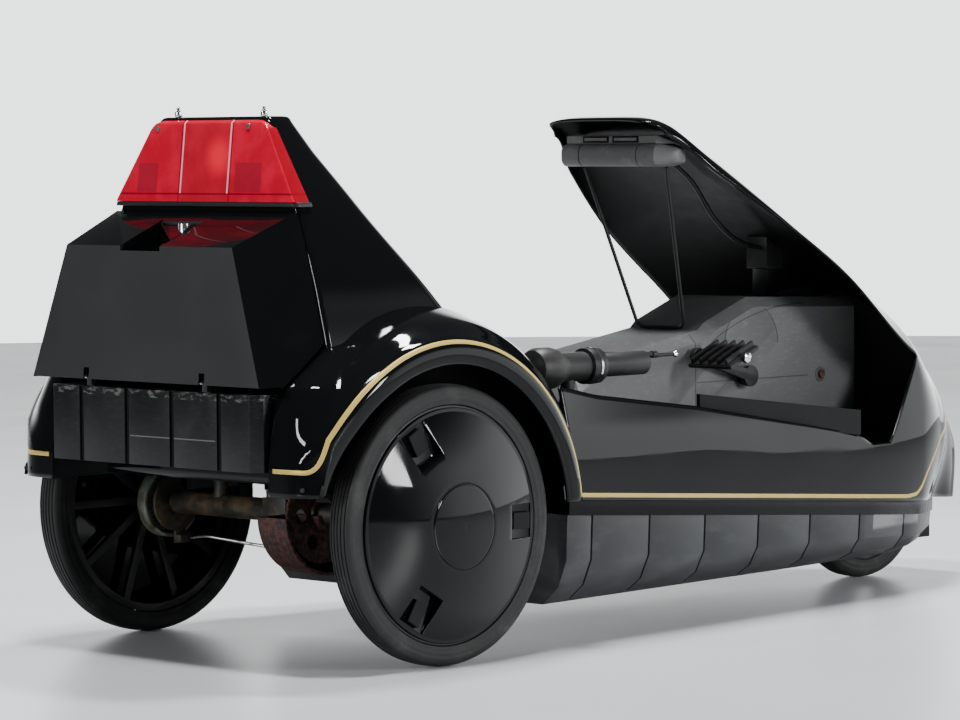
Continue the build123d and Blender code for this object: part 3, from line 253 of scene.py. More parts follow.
def grid(bm, rows, close_rows=False, close_ends=False, caps=()):
    """Quads between rows of points of equal length; caps lists rows that become faces."""
    made = [[bm.verts.new(p) for p in row] for row in rows]
    pairs = list(zip(made, made[1:]))
    if close_ends:
        pairs.append((made[-1], made[0]))
    for a, b in pairs:
        count = len(a) if close_rows else len(a) - 1
        for i in range(count):
            j = (i + 1) % len(a)
            corners = []
            for v in (a[i], a[j], b[j], b[i]):
                if all((v.co - w.co).length > SAME for w in corners):
                    corners.append(v)
            if len(corners) > 2:
                bm.faces.new(corners)
    for k in caps:
        bm.faces.new(made[k])


def spread(low, high, count):
    """Evenly spaced values from low to high, with count steps between them."""
    return [low + (high - low) * k / count for k in range(count + 1)]


def cuboid(size, place=(0, 0, 0)):
    """A closed block of a size about a place."""
    bm = bmesh.new()
    bmesh.ops.create_cube(bm, size=1.0)
    bmesh.ops.scale(bm, vec=size, verts=bm.verts)
    bmesh.ops.translate(bm, vec=place, verts=bm.verts)
    return bm


def turned(name, profile, finish, centre, steps=128, smooth=40, along="y", closed=False):
    """A profile of (distance along the axle, radius) turned about an axle along Y or X."""
    bm = bmesh.new()
    x, y, z = centre
    rows = []
    for k in range(steps):
        c, s = cos(2 * pi * k / steps), sin(2 * pi * k / steps)
        if along == "y":
            rows.append([(x + r * c, y + d, z + r * s) for d, r in profile])
        else:
            rows.append([(x + d, y + r * c, z + r * s) for d, r in profile])
    grid(bm, rows, close_rows=closed, close_ends=True)
    return finish_mesh(name, bm, finish, smooth)


print("three steps from 0 to 1:", [round(v, 2) for v in spread(0, 1, 3)])

# %% Rounded copies of CAD nodes, and lines through a table
CREASE, FACET, CAD_MERGE = 30, 3, 2e-5  # two angles in degrees, and a distance in metres


def softened(node, finish, width):
    """A copy of a CAD node: facets merged, edges rounded by a bevel of `width` millimetres."""
    bm = bmesh.new()
    bm.from_mesh(nodes[node].data)
    bmesh.ops.remove_doubles(bm, verts=bm.verts, dist=CAD_MERGE)
    bmesh.ops.dissolve_limit(bm, angle_limit=radians(FACET), verts=bm.verts, edges=bm.edges)
    piece = to_object(node + "_skin", bm)
    piece.data.materials.append(finish.material)
    if width:
        reshape(piece, "BEVEL", width=width * MM, segments=2, limit_method="ANGLE",
                angle_limit=radians(CREASE))
    shade(piece.data, CREASE)
    return piece


class Curve:
    """A smooth line through a table's points that never overshoots them."""

    def __init__(self, xs, ys):
        self.xs, self.ys = list(xs), list(ys)
        corners = list(zip(self.xs, self.ys))
        steps = [(y1 - y0) / (x1 - x0) for (x0, y0), (x1, y1) in zip(corners, corners[1:])]
        self.slopes = [steps[0]]
        for a, b in zip(steps, steps[1:]):
            self.slopes.append(0.0 if a * b <= 0 else 2 * a * b / (a + b))
        self.slopes.append(steps[-1])

    def __call__(self, x):
        xs, ys, m = self.xs, self.ys, self.slopes
        if x <= xs[0]:
            return ys[0] + m[0] * (x - xs[0])
        if x >= xs[-1]:
            return ys[-1] + m[-1] * (x - xs[-1])
        i = max(k for k in range(len(xs) - 1) if xs[k] <= x)
        h = xs[i + 1] - xs[i]
        t = (x - xs[i]) / h
        return ((2 * t ** 3 - 3 * t ** 2 + 1) * ys[i] + (t ** 3 - 2 * t ** 2 + t) * h * m[i]
                + (3 * t ** 2 - 2 * t ** 3) * ys[i + 1] + (t ** 3 - t ** 2) * h * m[i + 1])


def curves(table):
    """A smooth line for each column of a table after the first."""
    columns = list(zip(*table))
    return [Curve(columns[0], column) for column in columns[1:]]


def straight(points):
    """Straight interpolation through (x, z) points."""
    def value(x):
        for (x0, z0), (x1, z1) in zip(points, points[1:]):
            if x0 <= x <= x1:
                return z0 + (z1 - z0) * (x - x0) / (x1 - x0)
        return points[0][1] if x < points[0][0] else points[-1][1]
    return value


print("a curve through (0, 0), (1, 1), (2, 1) at 0.5:", Curve([0, 1, 2], [0, 1, 1])(0.5))

# %% [markdown]
# ## Finishes
# The real body is black moulding. It looks rich because it is a mirror: a very low roughness, with faint
# swirls and dust that break the mirror up. The lower moulding and the lid's back are satin, so their
# roughness is higher and a fine grain shows in the bump. Most small parts need only one patchy noise that
# varies colour and roughness together, so one function makes them all. The rear panel, lower moulding,
# console and lens also carry marks in fixed places: bands of the place itself draw those, which stay sharp
# from near by and need no unwrapping.

# %% Gloss, inner side, satin and belt
def mottled(name, patches, colours=None, between=None, rough=None, grain=None, **surface):
    """A finish in which one patchy noise varies the colour, the roughness or both.

    patches: scale, detail and roughness of the noise; between: where it changes the colours over
    rough: the lowest roughness and what the noise adds
    grain: the bump's own noise, or None for the same one, with its strength and distance
    """
    made = Finish(name, **surface)
    patch = made.noise(*patches)
    if colours:
        made.set("Base Color", made.mix(made.band(patch, *between) if between else patch, *colours))
    if rough:
        made.set("Roughness", rough[0] + rough[1] * patch)
    if grain:
        made.bump(made.noise(*grain[0]) if grain[0] else patch, *grain[1:])
    return made


gloss = Finish("body_gloss", specular_ior_level=0.2)
dust = gloss.noise(900.0, 4.0, 0.6)
haze = gloss.band(gloss.noise(9.0, 3.0, 0.5), 0.42, 0.7)
gloss.set("Roughness", 0.035 + 0.07 * haze + 0.1 * gloss.band(dust, 0.66, 0.8))
gloss.set("Base Color",
          gloss.mix(gloss.band(dust, 0.6, 0.8), (0.0032, 0.0035, 0.004), (0.014, 0.0145, 0.015)))

inner = mottled("inner_black", (1400.0, 2.0, 0.5), ((0.004, 0.004, 0.0045), (0.06, 0.058, 0.052)),
                (0.72, 0.78), specular_ior_level=0.14)
inner.set("Roughness", 0.36 + 0.2 * inner.noise(40.0))
satin = mottled("lid_satin", (6.0, 3.0), ((0.02, 0.0212, 0.0222), (0.033, 0.0345, 0.0355)),
                rough=(0.3, 0.14), grain=((1100.0, 2.0, 0.5), 0.12, 0.0004), specular_ior_level=0.28)
belt_finish = mottled("belt_black", (60.0,), rough=(0.2, 0.3), base_color=(0.006, 0.006, 0.0065),
                      specular_ior_level=0.1)
print("finishes", len(bpy.data.materials))

# %% Rear panel: worn along its top edge, one long scratch, four grooves in painted shade
panel_finish = f = Finish("rear_panel_black", specular_ior_level=0.26)
across, high = f.axis(1), f.axis(2)
rubbed = f.noise(70.0, 5.0, 0.7, stretch=(1, 1, 3))
tone = f.mix(f.band(rubbed, 0.45, 0.8), (0.008, 0.0085, 0.009), (0.02, 0.021, 0.022))
worn_top = f.box(high, 0.381, 0.3925) * f.band(rubbed, 0.5, 0.6)
tone = f.mix(0.7 * worn_top, tone, (0.16, 0.165, 0.165))
scratch = f.near(high, 0.325, 0.0008) * f.box(across, -0.142, 0.042)
tone = f.mix(0.6 * scratch, tone, (0.2, 0.2, 0.2))
# the four grooves are painted near black and rough: painted shade in the recesses
groove = sum((f.near(across, y, 0.0048) for y in (-0.049, 0.049, 0.15)), f.near(across, -0.15, 0.0048))
f.set("Base Color", f.mix(groove, tone, (0.001, 0.001, 0.001)))
f.set("Roughness", 0.3 + 0.15 * rubbed + 0.4 * groove)
print("rear panel nodes", len(f.tree.nodes))

# %% Lower moulding: patchy grey, with a painted reflection on its front
skirt = f = Finish("skirt_grey", specular_ior_level=0.3)
wear = f.noise(14.0, 5.0, 0.6, stretch=(1, 1, 2.5))
tone = f.mix(f.band(wear, 0.45, 0.75), (0.024, 0.0255, 0.027), (0.044, 0.046, 0.048))
# a painted reflection: the front of the moulding is painted light grey, patchy with the wear noise
front_reflection = f.box(f.axis(0), 0.45, 0.6) * f.band(f.axis(2), 0.11, 0.118)
front_reflection = front_reflection * (0.35 + 0.65 * f.band(wear, 0.3, 0.6))
f.set("Base Color", f.mix(front_reflection, tone, (0.2, 0.205, 0.21)))
f.set("Roughness", 0.3 + 0.22 * wear)
f.bump(f.noise(1200.0, 2.0), 0.08, 0.0004)
print("lower moulding nodes", len(f.tree.nodes))

# %% Console: stained grey with two seams and an arc
console_finish = f = Finish("console_grey")
stain = f.noise(7.0, 5.0, 0.65)
scuff = f.noise(55.0, 6.0, 0.75, stretch=(1, 1, 3))
tone = f.mix(f.band(scuff, 0.5, 0.75), (0.115, 0.119, 0.122), (0.19, 0.192, 0.19))
tone = f.mix(0.6 * f.band(stain, 0.55, 0.72), tone, (0.2, 0.15, 0.125))
along, high = f.axis(0), f.axis(2)
seam = f.near(high, 0.3555, 0.0009) * f.box(along, 0.2, 0.472)
step = f.near(along, 0.198, 0.0012) * f.box(high, 0.3, 0.432)
flat = f.vector("MULTIPLY", f.place(), (1, 0, 1))
far = f.vector("DISTANCE", flat, (0.4483, 0, 0.0334), out=1)
arc = f.near(far, 0.4396, 0.0009) * f.box(along, 0.236, 0.47)
f.set("Base Color", f.mix(0.75 * (seam + step + arc), tone, (0.02, 0.02, 0.02)))
f.set("Roughness", 0.42 + 0.25 * scuff)
f.bump(f.noise(1500.0, 2.0), 0.1, 0.0004)
print("console nodes", len(f.tree.nodes))

# %% Gold line, metals, rubber and small mouldings
gold = mottled("gold_line", (30.0,), ((0.52, 0.38, 0.085), (0.64, 0.49, 0.14)), roughness=0.34,
               metallic=0.15, specular_ior_level=0.3)
chrome = mottled("chrome", (400.0,), rough=(0.08, 0.2), base_color=(0.75, 0.76, 0.78), metallic=1.0)
steel = mottled("bare_steel", (90.0, 5.0), ((0.45, 0.45, 0.44), (0.2, 0.15, 0.11)), (0.5, 0.7),
                metallic=1.0, roughness=0.35)
rubber = mottled("tyre_rubber", (18.0, 6.0, 0.7), ((0.011, 0.011, 0.0115), (0.045, 0.045, 0.044)),
                 (0.45, 0.8), (0.5, 0.25), ((700.0, 3.0), 0.15, 0.0005), specular_ior_level=0.35)
black = mottled("black_moulding", (50.0, 4.0), rough=(0.3, 0.25), grain=((1500.0, 2.0), 0.08, 0.0004),
                base_color=(0.016, 0.016, 0.017), specular_ior_level=0.35)
grip_finish = mottled("grip_grey", (26.0, 5.0, 0.65), ((0.018, 0.018, 0.0185), (0.042, 0.041, 0.039)),
                      (0.4, 0.75), (0.38, 0.2), specular_ior_level=0.35)
pod_finish = mottled("pod_grey", (35.0, 5.0, 0.7), ((0.12, 0.12, 0.122), (0.21, 0.208, 0.206)),
                     (0.5, 0.8), grain=((1300.0, 2.0), 0.12, 0.0005), roughness=0.5)
frame_finish = mottled("axle_black", (22.0, 6.0, 0.7), ((0.017, 0.017, 0.014), (0.09, 0.06, 0.032)),
                       (0.45, 0.62), (0.3, 0.45))
rust = mottled("rust", (130.0, 5.0, 0.7), ((0.014, 0.008, 0.007), (0.1, 0.03, 0.022)), (0.4, 0.65),
               grain=(None, 0.4, 0.0008), roughness=0.7)
drum_finish = mottled("drum_grey", (45.0, 5.0), ((0.28, 0.32, 0.28), (0.12, 0.09, 0.06)), (0.42, 0.7),
                      metallic=0.6, roughness=0.45)
print("finishes", len(bpy.data.materials))

# %% Lens: ribs, reflector squares, a painted highlight spot and line, and painted shade on its sides
LENS_LOW, LENS_HALF, LENS_SLOPE = 657.3, 195, 0.64  # its foot, half width there, and how that shrinks
lens = f = Finish("lens_red", roughness=0.1, specular_ior_level=0.3)
across, high = f.axis(1), f.axis(2)
away = f.size(across)
red = f.mix(f.band(f.noise(24.0, 4.0, 0.6), 0.35, 0.7), (0.47, 0.0025, 0.022), (0.6, 0.005, 0.034))
red = f.mix(0.45 * f.box(across, -0.05, 0.05), red, (0.36, 0.012, 0.022))
# a painted highlight: a bright spot of light on the lens
painted_highlight = f.vector("DISTANCE", f.place(), (-0.752, -0.028, 0.722), out=1)
red = f.mix(0.8 * f.band(painted_highlight, 0.04, 0.006), red, (0.95, 0.008, 0.04))
squares = f.box(across, 0.103, 0.146) + f.box(across, -0.122, -0.065)
red = f.mix(0.7 * squares * f.box(high, 0.671, 0.713), red, (0.27, 0.012, 0.028))
red = f.mix(0.75 * f.near(high, 0.6685, 0.0013), red, (0.16, 0.003, 0.012))
# a pale line along the centre panel's edge: a painted highlight
red = f.mix(0.85 * f.near(away, 0.051, 0.0016) * (high > 0.6695), red, (0.85, 0.42, 0.5))
red = f.mix(0.8 * f.near(away, 0.0545, 0.0012), red, (0.2, 0.004, 0.015))
# the lens's sides are painted a darker red: painted shade
edge = LENS_HALF * MM - LENS_SLOPE * (high - LENS_LOW * MM)
f.set("Base Color", f.mix(0.8 * (away > edge - 0.0008), red, (0.2, 0.002, 0.008)))
print("lens nodes", len(f.tree.nodes))

# %% [markdown]
# ## The upper body
# The real body is one tall moulding: a nose that rises into a hood over the rider's knees, low sides with
# a rolled sill, two arches and a tail tower. It could be sculpted, but its shape follows a rule: a few
# cross sections, each with a waist width, a widest width, a shoulder and a crown. A table of those, and a
# smooth curve through each column, give every point of the skin, so a change to one number stays smooth.

# %% Sections of the body, in millimetres
BELT_X = -345.0  # the waist leaves the rear arch here
AXLE_X, AXLE_Z, FRONT_X, FRONT_Z = -594.0, 200.0, 706.0, 150.0  # axes of the rear and front wheels
SECTIONS = [
    # x, half width at the waist, widest half width and its height, shoulder half width and height, crown
    (-345, 334, 333, 300, 300, 440, 500), (-60, 306, 304, 300, 180, 640, 700),
    (90, 291, 289, 290, 128, 754, 777), (172, 283, 281, 280, 166, 693, 735),
    (300, 270, 269, 270, 208, 602, 662), (431, 256, 256, 256, 224, 512, 596),
    (592, 228, 240, 250, 221, 388, 505), (700, 160, 206, 248, 172, 340, 432),
    (790, 96, 142, 246, 110, 318, 348), (850, 84, 96, 246, 66, 278, 290),
    (872, 60, 66, 246, 40, 262, 266),
]
belt_w, wide_w, wide_z, shoulder_w, shoulder_z, crown_z = curves(SECTIONS)
sill_z = straight([(-345, 384), (-258, 367), (-21, 338), (263, 293), (382, 273), (415, 263), (437, 252),
                   (490, 252), (592, 388)])
WAIST_Z, WAIST_FALL = 219, 0.0745  # the waist's height at BELT_X, and its fall for a millimetre ahead
BEND = 30.0  # how far the rounded bend at the widest place reaches up and down
BOXY_FROM, BOXY_RUN, BOXY_MOST = 330, 210, 0.9  # where the crown starts to turn squarer, over what, how far


def waist_z(x):
    return WAIST_Z - WAIST_FALL * (x - BELT_X)


def side_y(x, z):
    """Half width of the side at a height: two slopes that meet in a rounded bend."""
    bw, ww, wz, sw, sz, foot = belt_w(x), wide_w(x), wide_z(x), shoulder_w(x), shoulder_z(x), waist_z(x)
    r = min(BEND, 0.45 * (wz - foot), 0.45 * (sz - wz))
    if abs(z - wz) >= r:
        if z < wz:
            return bw + (ww - bw) * (z - foot) / max(wz - foot, 1)
        return ww + (sw - ww) * (z - wz) / (sz - wz)
    t = (z - wz + r) / (2 * r)
    low = bw + (ww - bw) * (wz - r - foot) / max(wz - foot, 1)
    high = ww + (sw - ww) * r / (sz - wz)
    return (1 - t) ** 2 * low + 2 * t * (1 - t) * ww + t * t * high


def crown_point(x, t):
    """A point of the hood; t runs from -1 at the right shoulder to 1 at the left one.

    Ahead it is a circle's arc. Towards the lip over the knees it turns into a squarer curve.
    """
    sw, sz, cz = shoulder_w(x), shoulder_z(x), crown_z(x)
    rise = max(cz - sz, 0.5)
    radius = (sw * sw + rise * rise) / (2 * rise)
    a = asin(min(1.0, sw / radius)) * t
    y, z = radius * sin(a), cz - radius + radius * cos(a)
    boxy = min(1.0, max(0.0, (BOXY_FROM - x) / BOXY_RUN)) * BOXY_MOST
    turn = pi / 2 * abs(t) ** 0.8
    y_box = copysign(sw * 0.94 * sin(turn) ** 0.5 if t else 0.0, t)
    z_box = sz - 6 + (rise + 8) * cos(turn) ** 0.5 if abs(t) < 1 else sz - 6
    return y + boxy * (y_box - y), z + boxy * (z_box - z)


print("width at the sill", round(2 * side_y(0, 330)), "hood top", round(crown_z(90)))

# %% [markdown]
# The skin is laid as two kinds of grid that share their edge: side columns from the waist to the sill or
# the shoulder, and hood columns across the crown. Ahead of the cockpit the two meet at the shoulder, where
# the corner is rounded more and more towards the nose by averaging neighbouring points.

# %% Hood, nose and sides
OPEN_X = 592.0  # the cockpit's opening ends here
TIP_X, TIP_Z = 852, 215  # from here on the nose is drawn in towards this height
ROUND_RUN, ROUND_TIMES = 90, 60  # over what length the shoulders become round, and how round
SIDE_STEPS, SIDE_ROWS, HOOD_STEPS, HOOD_ROWS, NOSE_ROWS = 22, 110, 56, 80, 44


def rear_lip(t):
    """Where the hood begins at column t: a rounded tongue behind the instruments."""
    return 64 + 34 * abs(t) ** 2.6


def side_column(x, side, top):
    low = waist_z(x) if x < 700 else min(waist_z(x), wide_z(x) - 12)
    return [(x, side * side_y(x, z), z) for z in spread(low, top, SIDE_STEPS)]


def nose_row(x):
    """A whole section ahead of the cockpit, with its shoulders rounded off."""
    right, left = (side_column(x, side, shoulder_z(x)) for side in (-1, 1))
    row = right[:-1] + [(x, *crown_point(x, t)) for t in spread(-1, 1, HOOD_STEPS)] + left[-2::-1]
    for _ in range(int(min(1.0, max(0.0, (x - OPEN_X) / ROUND_RUN)) * ROUND_TIMES)):
        row = [row[0]] + [(x, (a[1] + 2 * b[1] + c[1]) / 4, (a[2] + 2 * b[2] + c[2]) / 4)
                          for a, b, c in zip(row, row[1:], row[2:])] + [row[-1]]
    return row


bm = bmesh.new()
for side in (-1, 1):
    grid(bm, [side_column(x, side, min(sill_z(x), shoulder_z(x)))
              for x in spread(BELT_X, OPEN_X, SIDE_ROWS)])
columns = [[(x, *crown_point(x, t)) for x in spread(rear_lip(t), OPEN_X, HOOD_ROWS)]
           for t in spread(-1, 1, HOOD_STEPS)]
grid(bm, zip(*columns))
rows = [nose_row(x) for x in spread(OPEN_X, TIP_X, NOSE_ROWS)]
base = rows[-1]
for dx, share in ((7, 0.985), (12, 0.955), (16, 0.91), (18.5, 0.85), (20, 0.76)):
    rows.append([(TIP_X + dx, y * share, TIP_Z + (z - TIP_Z) * (share if z > TIP_Z else 1))
                 for _, y, z in base])
grid(bm, rows, caps=[-1])
skin = finish_mesh("upper_body", bm, gloss, smooth=50)
wall(skin, 3.6, inner)
fit(skin, "body", "body_gloss", "upper_shell")
print("upper body faces", len(skin.data.polygons))

# %% [markdown]
# ### Arches
# Each arch is a drum over the wheel whose rings are not on one centre: the outer ring is on the axle, the
# inner ones are larger and sit further forward and higher. Behind the wheel the moulding fills out into a
# tall rounded corner that reaches up to the lid. Both are written as a distance from the axle at an
# angle, so the skin takes the larger of the two, with a soft change where they meet.

# %% Shape of an arch
ARCH_RINGS = [  # half width, ring centre ahead of and above the axle, radius
    (236, 30, 16, 292), (300, 19, 6, 284), (334, 6, 0, 270), (346, 1, 0, 261), (351, 0, 0, 253),
    (352, 0, 0, 248),
]
ahead, above, reach = curves(ARCH_RINGS)
CORNER = [  # height, back ahead of the axle, half width, corner radius
    (252, -251, 350, 84), (293, -249, 345, 84), (327, -247, 339, 80), (359, -243, 328, 72),
    (401, -232, 306, 58), (457, -150, 282, 40),
]
corner_back = straight([row[:2] for row in CORNER])
_, corner_w, corner_r = curves(CORNER)
INNER, FACE, LIP_R = 236.0, 352.0, 228.0  # inner wall, outer face, and radius of the wheel's opening
FOOT_Z, ARCH_X = 252.0, -340  # the arch's foot behind the wheel, and its end ahead of it
face_y = Curve([-222, -165, -106, -40], [322, 343.5, 351, 352])
SOFT = 8.0  # how near drum and corner are when they begin to blend
ARCH_STEPS = 130  # points along a ring


def back_at(y, z):
    """How far behind the axle the corner's wall stands, at a half width and a height."""
    radius = corner_r(z)
    over = min(max(0.0, y - corner_w(z) + radius), radius)
    return corner_back(z) + radius - sqrt(radius * radius - over * over)


def halve(inside, low, high, times):
    """The edge between low, which is inside, and high, which is not."""
    for _ in range(times):
        mid = (low + high) / 2
        low, high = (mid, high) if inside(mid) else (low, mid)
    return low


def corner_reach(y, angle):
    """Distance from the axle at which a ray leaves the corner."""
    def inside(far):
        x, z = far * cos(angle), AXLE_Z + far * sin(angle)
        level = max(z, FOOT_Z)
        return z <= CORNER[-1][0] and y <= corner_w(level) and x >= back_at(y, level)
    return halve(inside, 0.0, 400.0, 24)


def squeeze(angle):
    """Half width of the arch's face at an angle; it draws in behind the wheel."""
    x = LIP_R * cos(angle)
    return face_y(x) if x < face_y.xs[-1] else FACE


def arch_point(y, angle):
    """A point of the skin: y is its half width on the unsqueezed drum."""
    real_y = INNER + (y - INNER) * (squeeze(angle) - INNER) / (FACE - INNER)
    c, s = cos(angle), sin(angle)
    along = ahead(y) * c + above(y) * s
    drum = along + sqrt(reach(y) ** 2 - ahead(y) ** 2 - above(y) ** 2 + along ** 2)
    if c < -0.05:
        drum = min(drum, back_at(real_y, FOOT_Z) / c)
        corner = corner_reach(real_y, angle)
        blend = max(0.0, SOFT - abs(drum - corner)) / SOFT
        drum = max(drum, corner) + blend * blend * SOFT / 4
    return (AXLE_X + drum * c, real_y, AXLE_Z + drum * s)


def foot_angle(y, height, low, high):
    """Angle at which a ring comes down to a height; low is above it and high below it."""
    return halve(lambda angle: arch_point(y, angle)[2] > height, low, high, 22)


def lip_ring(inward, radius):
    """A ring of the opening's edge, from the waist ahead of the wheel to the foot behind it."""
    front = asin((waist_z(ARCH_X) - AXLE_Z) / radius)
    rear = pi - asin((FOOT_Z - AXLE_Z) / radius)
    return [(AXLE_X + radius * cos(a), squeeze(a) - inward, AXLE_Z + radius * sin(a))
            for a in spread(front, rear, ARCH_STEPS)]


print("arch above the axle", round(arch_point(300, pi / 2)[2] - AXLE_Z))

# %% Rear arches
ring_ys = [236, 243, 250, 257, 264, 271, 278, 286, 293, 300, 308, 315, 321, 326, 330, 334, 337, 340, 343,
           345.5, 347.5, 349.2, 350.5, 351.5, 352]
arch_rows = []
for y in ring_ys:
    front = foot_angle(y, waist_z(ARCH_X), pi / 2, 0.0)
    rear = foot_angle(y, FOOT_Z, pi / 2, pi)
    arch_rows.append([arch_point(y, angle) for angle in spread(front, rear, ARCH_STEPS)])
arch_rows += [lip_ring(*edge) for edge in ((0, 240), (0.4, 232), (1.4, 229), (3, LIP_R), (8, LIP_R))]
well = [(x, y, FOOT_Z if x < AXLE_X else waist_z(ARCH_X)) for x, y, z in arch_rows[0]]
for side, name in SIDES:
    bm = bmesh.new()
    grid(bm, [[(x, side * y, z) for x, y, z in row] for row in [well] + arch_rows])
    arch = finish_mesh("arch_" + name, bm, gloss, smooth=50)
    wall(arch, 3.0, inner)
    fit(arch, "body", "body_gloss")
print("arch faces", len(arch.data.polygons))

# %% [markdown]
# ### Tail tower
# The tower carries the lamp. Seen from above it is a rectangle with rounded corners that shrinks with
# height while its front leans back, so rings of one rounded rectangle, stacked on curves, make it.

# %% Tail tower
TOWER = [  # height, rear and front x, half width
    (252, -748, -318, 234), (402, -748, -416, 262), (516, -748, -505, 240), (652, -748, -612, 191),
    (779, -735, -684, 117),
]
tower_back = straight([row[:2] for row in TOWER])
_, tower_front, tower_w = curves(TOWER)
TOWER_LOW, TOWER_HIGH, WELL_TOP = 256, 771, 440  # up to WELL_TOP it stands between the arches' walls


def round_ring(z, back, front, half, rear_r, front_r, steps=8):
    """A rectangle with rounded corners at a height, from the rear right corner round."""
    ring = []
    for cx, cy, radius, start in ((back + rear_r, rear_r - half, rear_r, 180),
                                  (front - front_r, front_r - half, front_r, 270),
                                  (front - front_r, half - front_r, front_r, 0),
                                  (back + rear_r, half - rear_r, rear_r, 90)):
        ring += [(cx + radius * cos(a), cy + radius * sin(a), z)
                 for a in map(radians, spread(start, start + 90, steps))]
    return ring


rows = []
for z in spread(TOWER_LOW, TOWER_HIGH, 48):
    back, front = tower_back(z), tower_front(z)
    half = tower_w(z) if z > WELL_TOP else INNER - 3
    rows.append(round_ring(z, back, front, half, 7, min(34, 0.4 * (front - back))))
for z, inset in ((775, 1.0), (777.6, 3.0), (779, 7.0)):
    rows.append(round_ring(z, tower_back(z) + inset, tower_front(TOWER_HIGH) - 2 - inset,
                           tower_w(TOWER_HIGH) - 3 - inset, 7, 16))
bm = bmesh.new()
grid(bm, rows, close_rows=True, caps=[-1])
tower = finish_mesh("tail_tower", bm, gloss, smooth=38)
wall(tower, 3.5)
carve(tower, cuboid((30, 336, 190), (-748, 0, 505)))  # the boot's mouth
fit(tower, "body", "body_gloss")
print("tower faces", len(tower.data.polygons))

# %% [markdown]
# ### Boot lid
# The lid is a faceted cover with crisp folds and a finger notch beside its lock. It is laid as one closed
# faceted block, the notch is carved out of that block, and only then is the block opened and given a
# wall. Carving a thin wall first would leave a hole where the notch should have a floor.

# %% Boot lid
LID = [  # height, rear x, half width at the rear and where the lid meets the tower
    (402, -872, 247, 263), (596, -860, 180, 211), (643, -753, 194, 194),
]
MEET_X = -748
LID_ENDS = [  # a point and the outward direction of each plane that the lid ends at
    ((-0.83, 0, 0.403), (56, 0, -80)), ((-0.7495, 0, 0), (1, 0, 0)), ((0, 0, 0.4035), (0, 0, -1)),
]


def prism(points, low, high):
    """A closed block over an outline given in X and Y."""
    bm = bmesh.new()
    grid(bm, [[(x, y, z) for x, y in points] for z in (low, high)], close_rows=True, caps=(0, 1))
    bmesh.ops.recalc_face_normals(bm, faces=bm.faces)
    return bm


def lid_shell(name, finish, carvings):
    """The closed block with its carvings, ended at the planes and opened into a thin shell."""
    bm = bmesh.new()
    grid(bm, [[(MEET_X, -front_w, z), (back, -rear_w, z), (back, rear_w, z), (MEET_X, front_w, z)]
              for z, back, rear_w, front_w in LID], close_rows=True, caps=(0, -1))
    piece = finish_mesh(name, bm, finish, smooth=30)
    for carving in carvings:
        carve(piece, carving)
    bm = bmesh.new()
    bm.from_mesh(piece.data)
    for point, outward in LID_ENDS:
        bmesh.ops.bisect_plane(bm, geom=bm.verts[:] + bm.edges[:] + bm.faces[:], plane_co=point,
                               plane_no=Vector(outward).normalized(), clear_outer=True)
    bmesh.ops.dissolve_limit(bm, angle_limit=0.01, verts=bm.verts, edges=bm.edges)
    bm.to_mesh(piece.data)
    bm.free()
    modify(piece, "BEVEL", width=3.0 * MM, segments=4, limit_method="ANGLE", angle_limit=radians(12))
    wall(piece, 2.8)
    shade(piece.data, 35)
    return piece


def hinge_block(side, near, far, back, front, low, high):
    """A block at the hinge, between two distances from the car's middle."""
    y0, y1 = sorted((side * near, side * far))
    return prism([(back, y1), (front, y1), (front, y0), (back, y0)], low, high)


# the finger notch: a deep pocket, its open mouth at the back, and a shallow shelf beside it
pocket = prism([(-850, 61), (-784, 61), (-843, -30), (-850, -27)], 572, 700)
mouth = prism([(-890, 60), (-847, 60), (-847, -26), (-890, -26)], 589, 700)
shelf = prism([(-785, 57), (-782, -32), (-842, -32)], 0, 8)
for vert in shelf.verts:  # the shelf lies along the lid's sloping top
    vert.co.z += 596 + (vert.co.x + 860) * 0.439 - 4.5
lid = lid_shell("lid_cover", satin, [pocket, mouth, shelf])
for side, name in SIDES:
    carve(lid, hinge_block(side, 120, 132, -877, -852, 395, 420))
    for y in (102, 142):
        knuckle = finish_mesh("hinge_knuckle_" + name + str(y),
                              hinge_block(side, y, y + 8, -869, -857, 403.5, 417), satin, smooth=30)
        fit(knuckle, "boot_lid", "panel_black")
    profile = [(side * y, r) for y, r in ((102, 0.01), (102, 2.9), (150, 2.9), (150, 0.01))]
    pin = turned("hinge_pin_" + name, profile, steel, (-862, 0, 406), steps=32)
    fit(pin, "boot_lid", "steel")
lid.data.materials.append(gloss.material)
for face in lid.data.polygons:
    face.material_index = 0 if face.normal.x < -0.97 else 1
fit(lid, "boot_lid", "panel_black", "boot_lid")
print("lid faces", len(lid.data.polygons))

# %% [markdown]
# ## Parts that keep their CAD shape
# The frame, casings, bar and other plain parts already have their shape in the CAD model. Their meshes are
# loose triangles with edges as sharp as a drawing's, and nothing moulded or pressed has such edges. So each
# is copied, its facets are merged, and a small bevel rounds it until it catches a line of light.

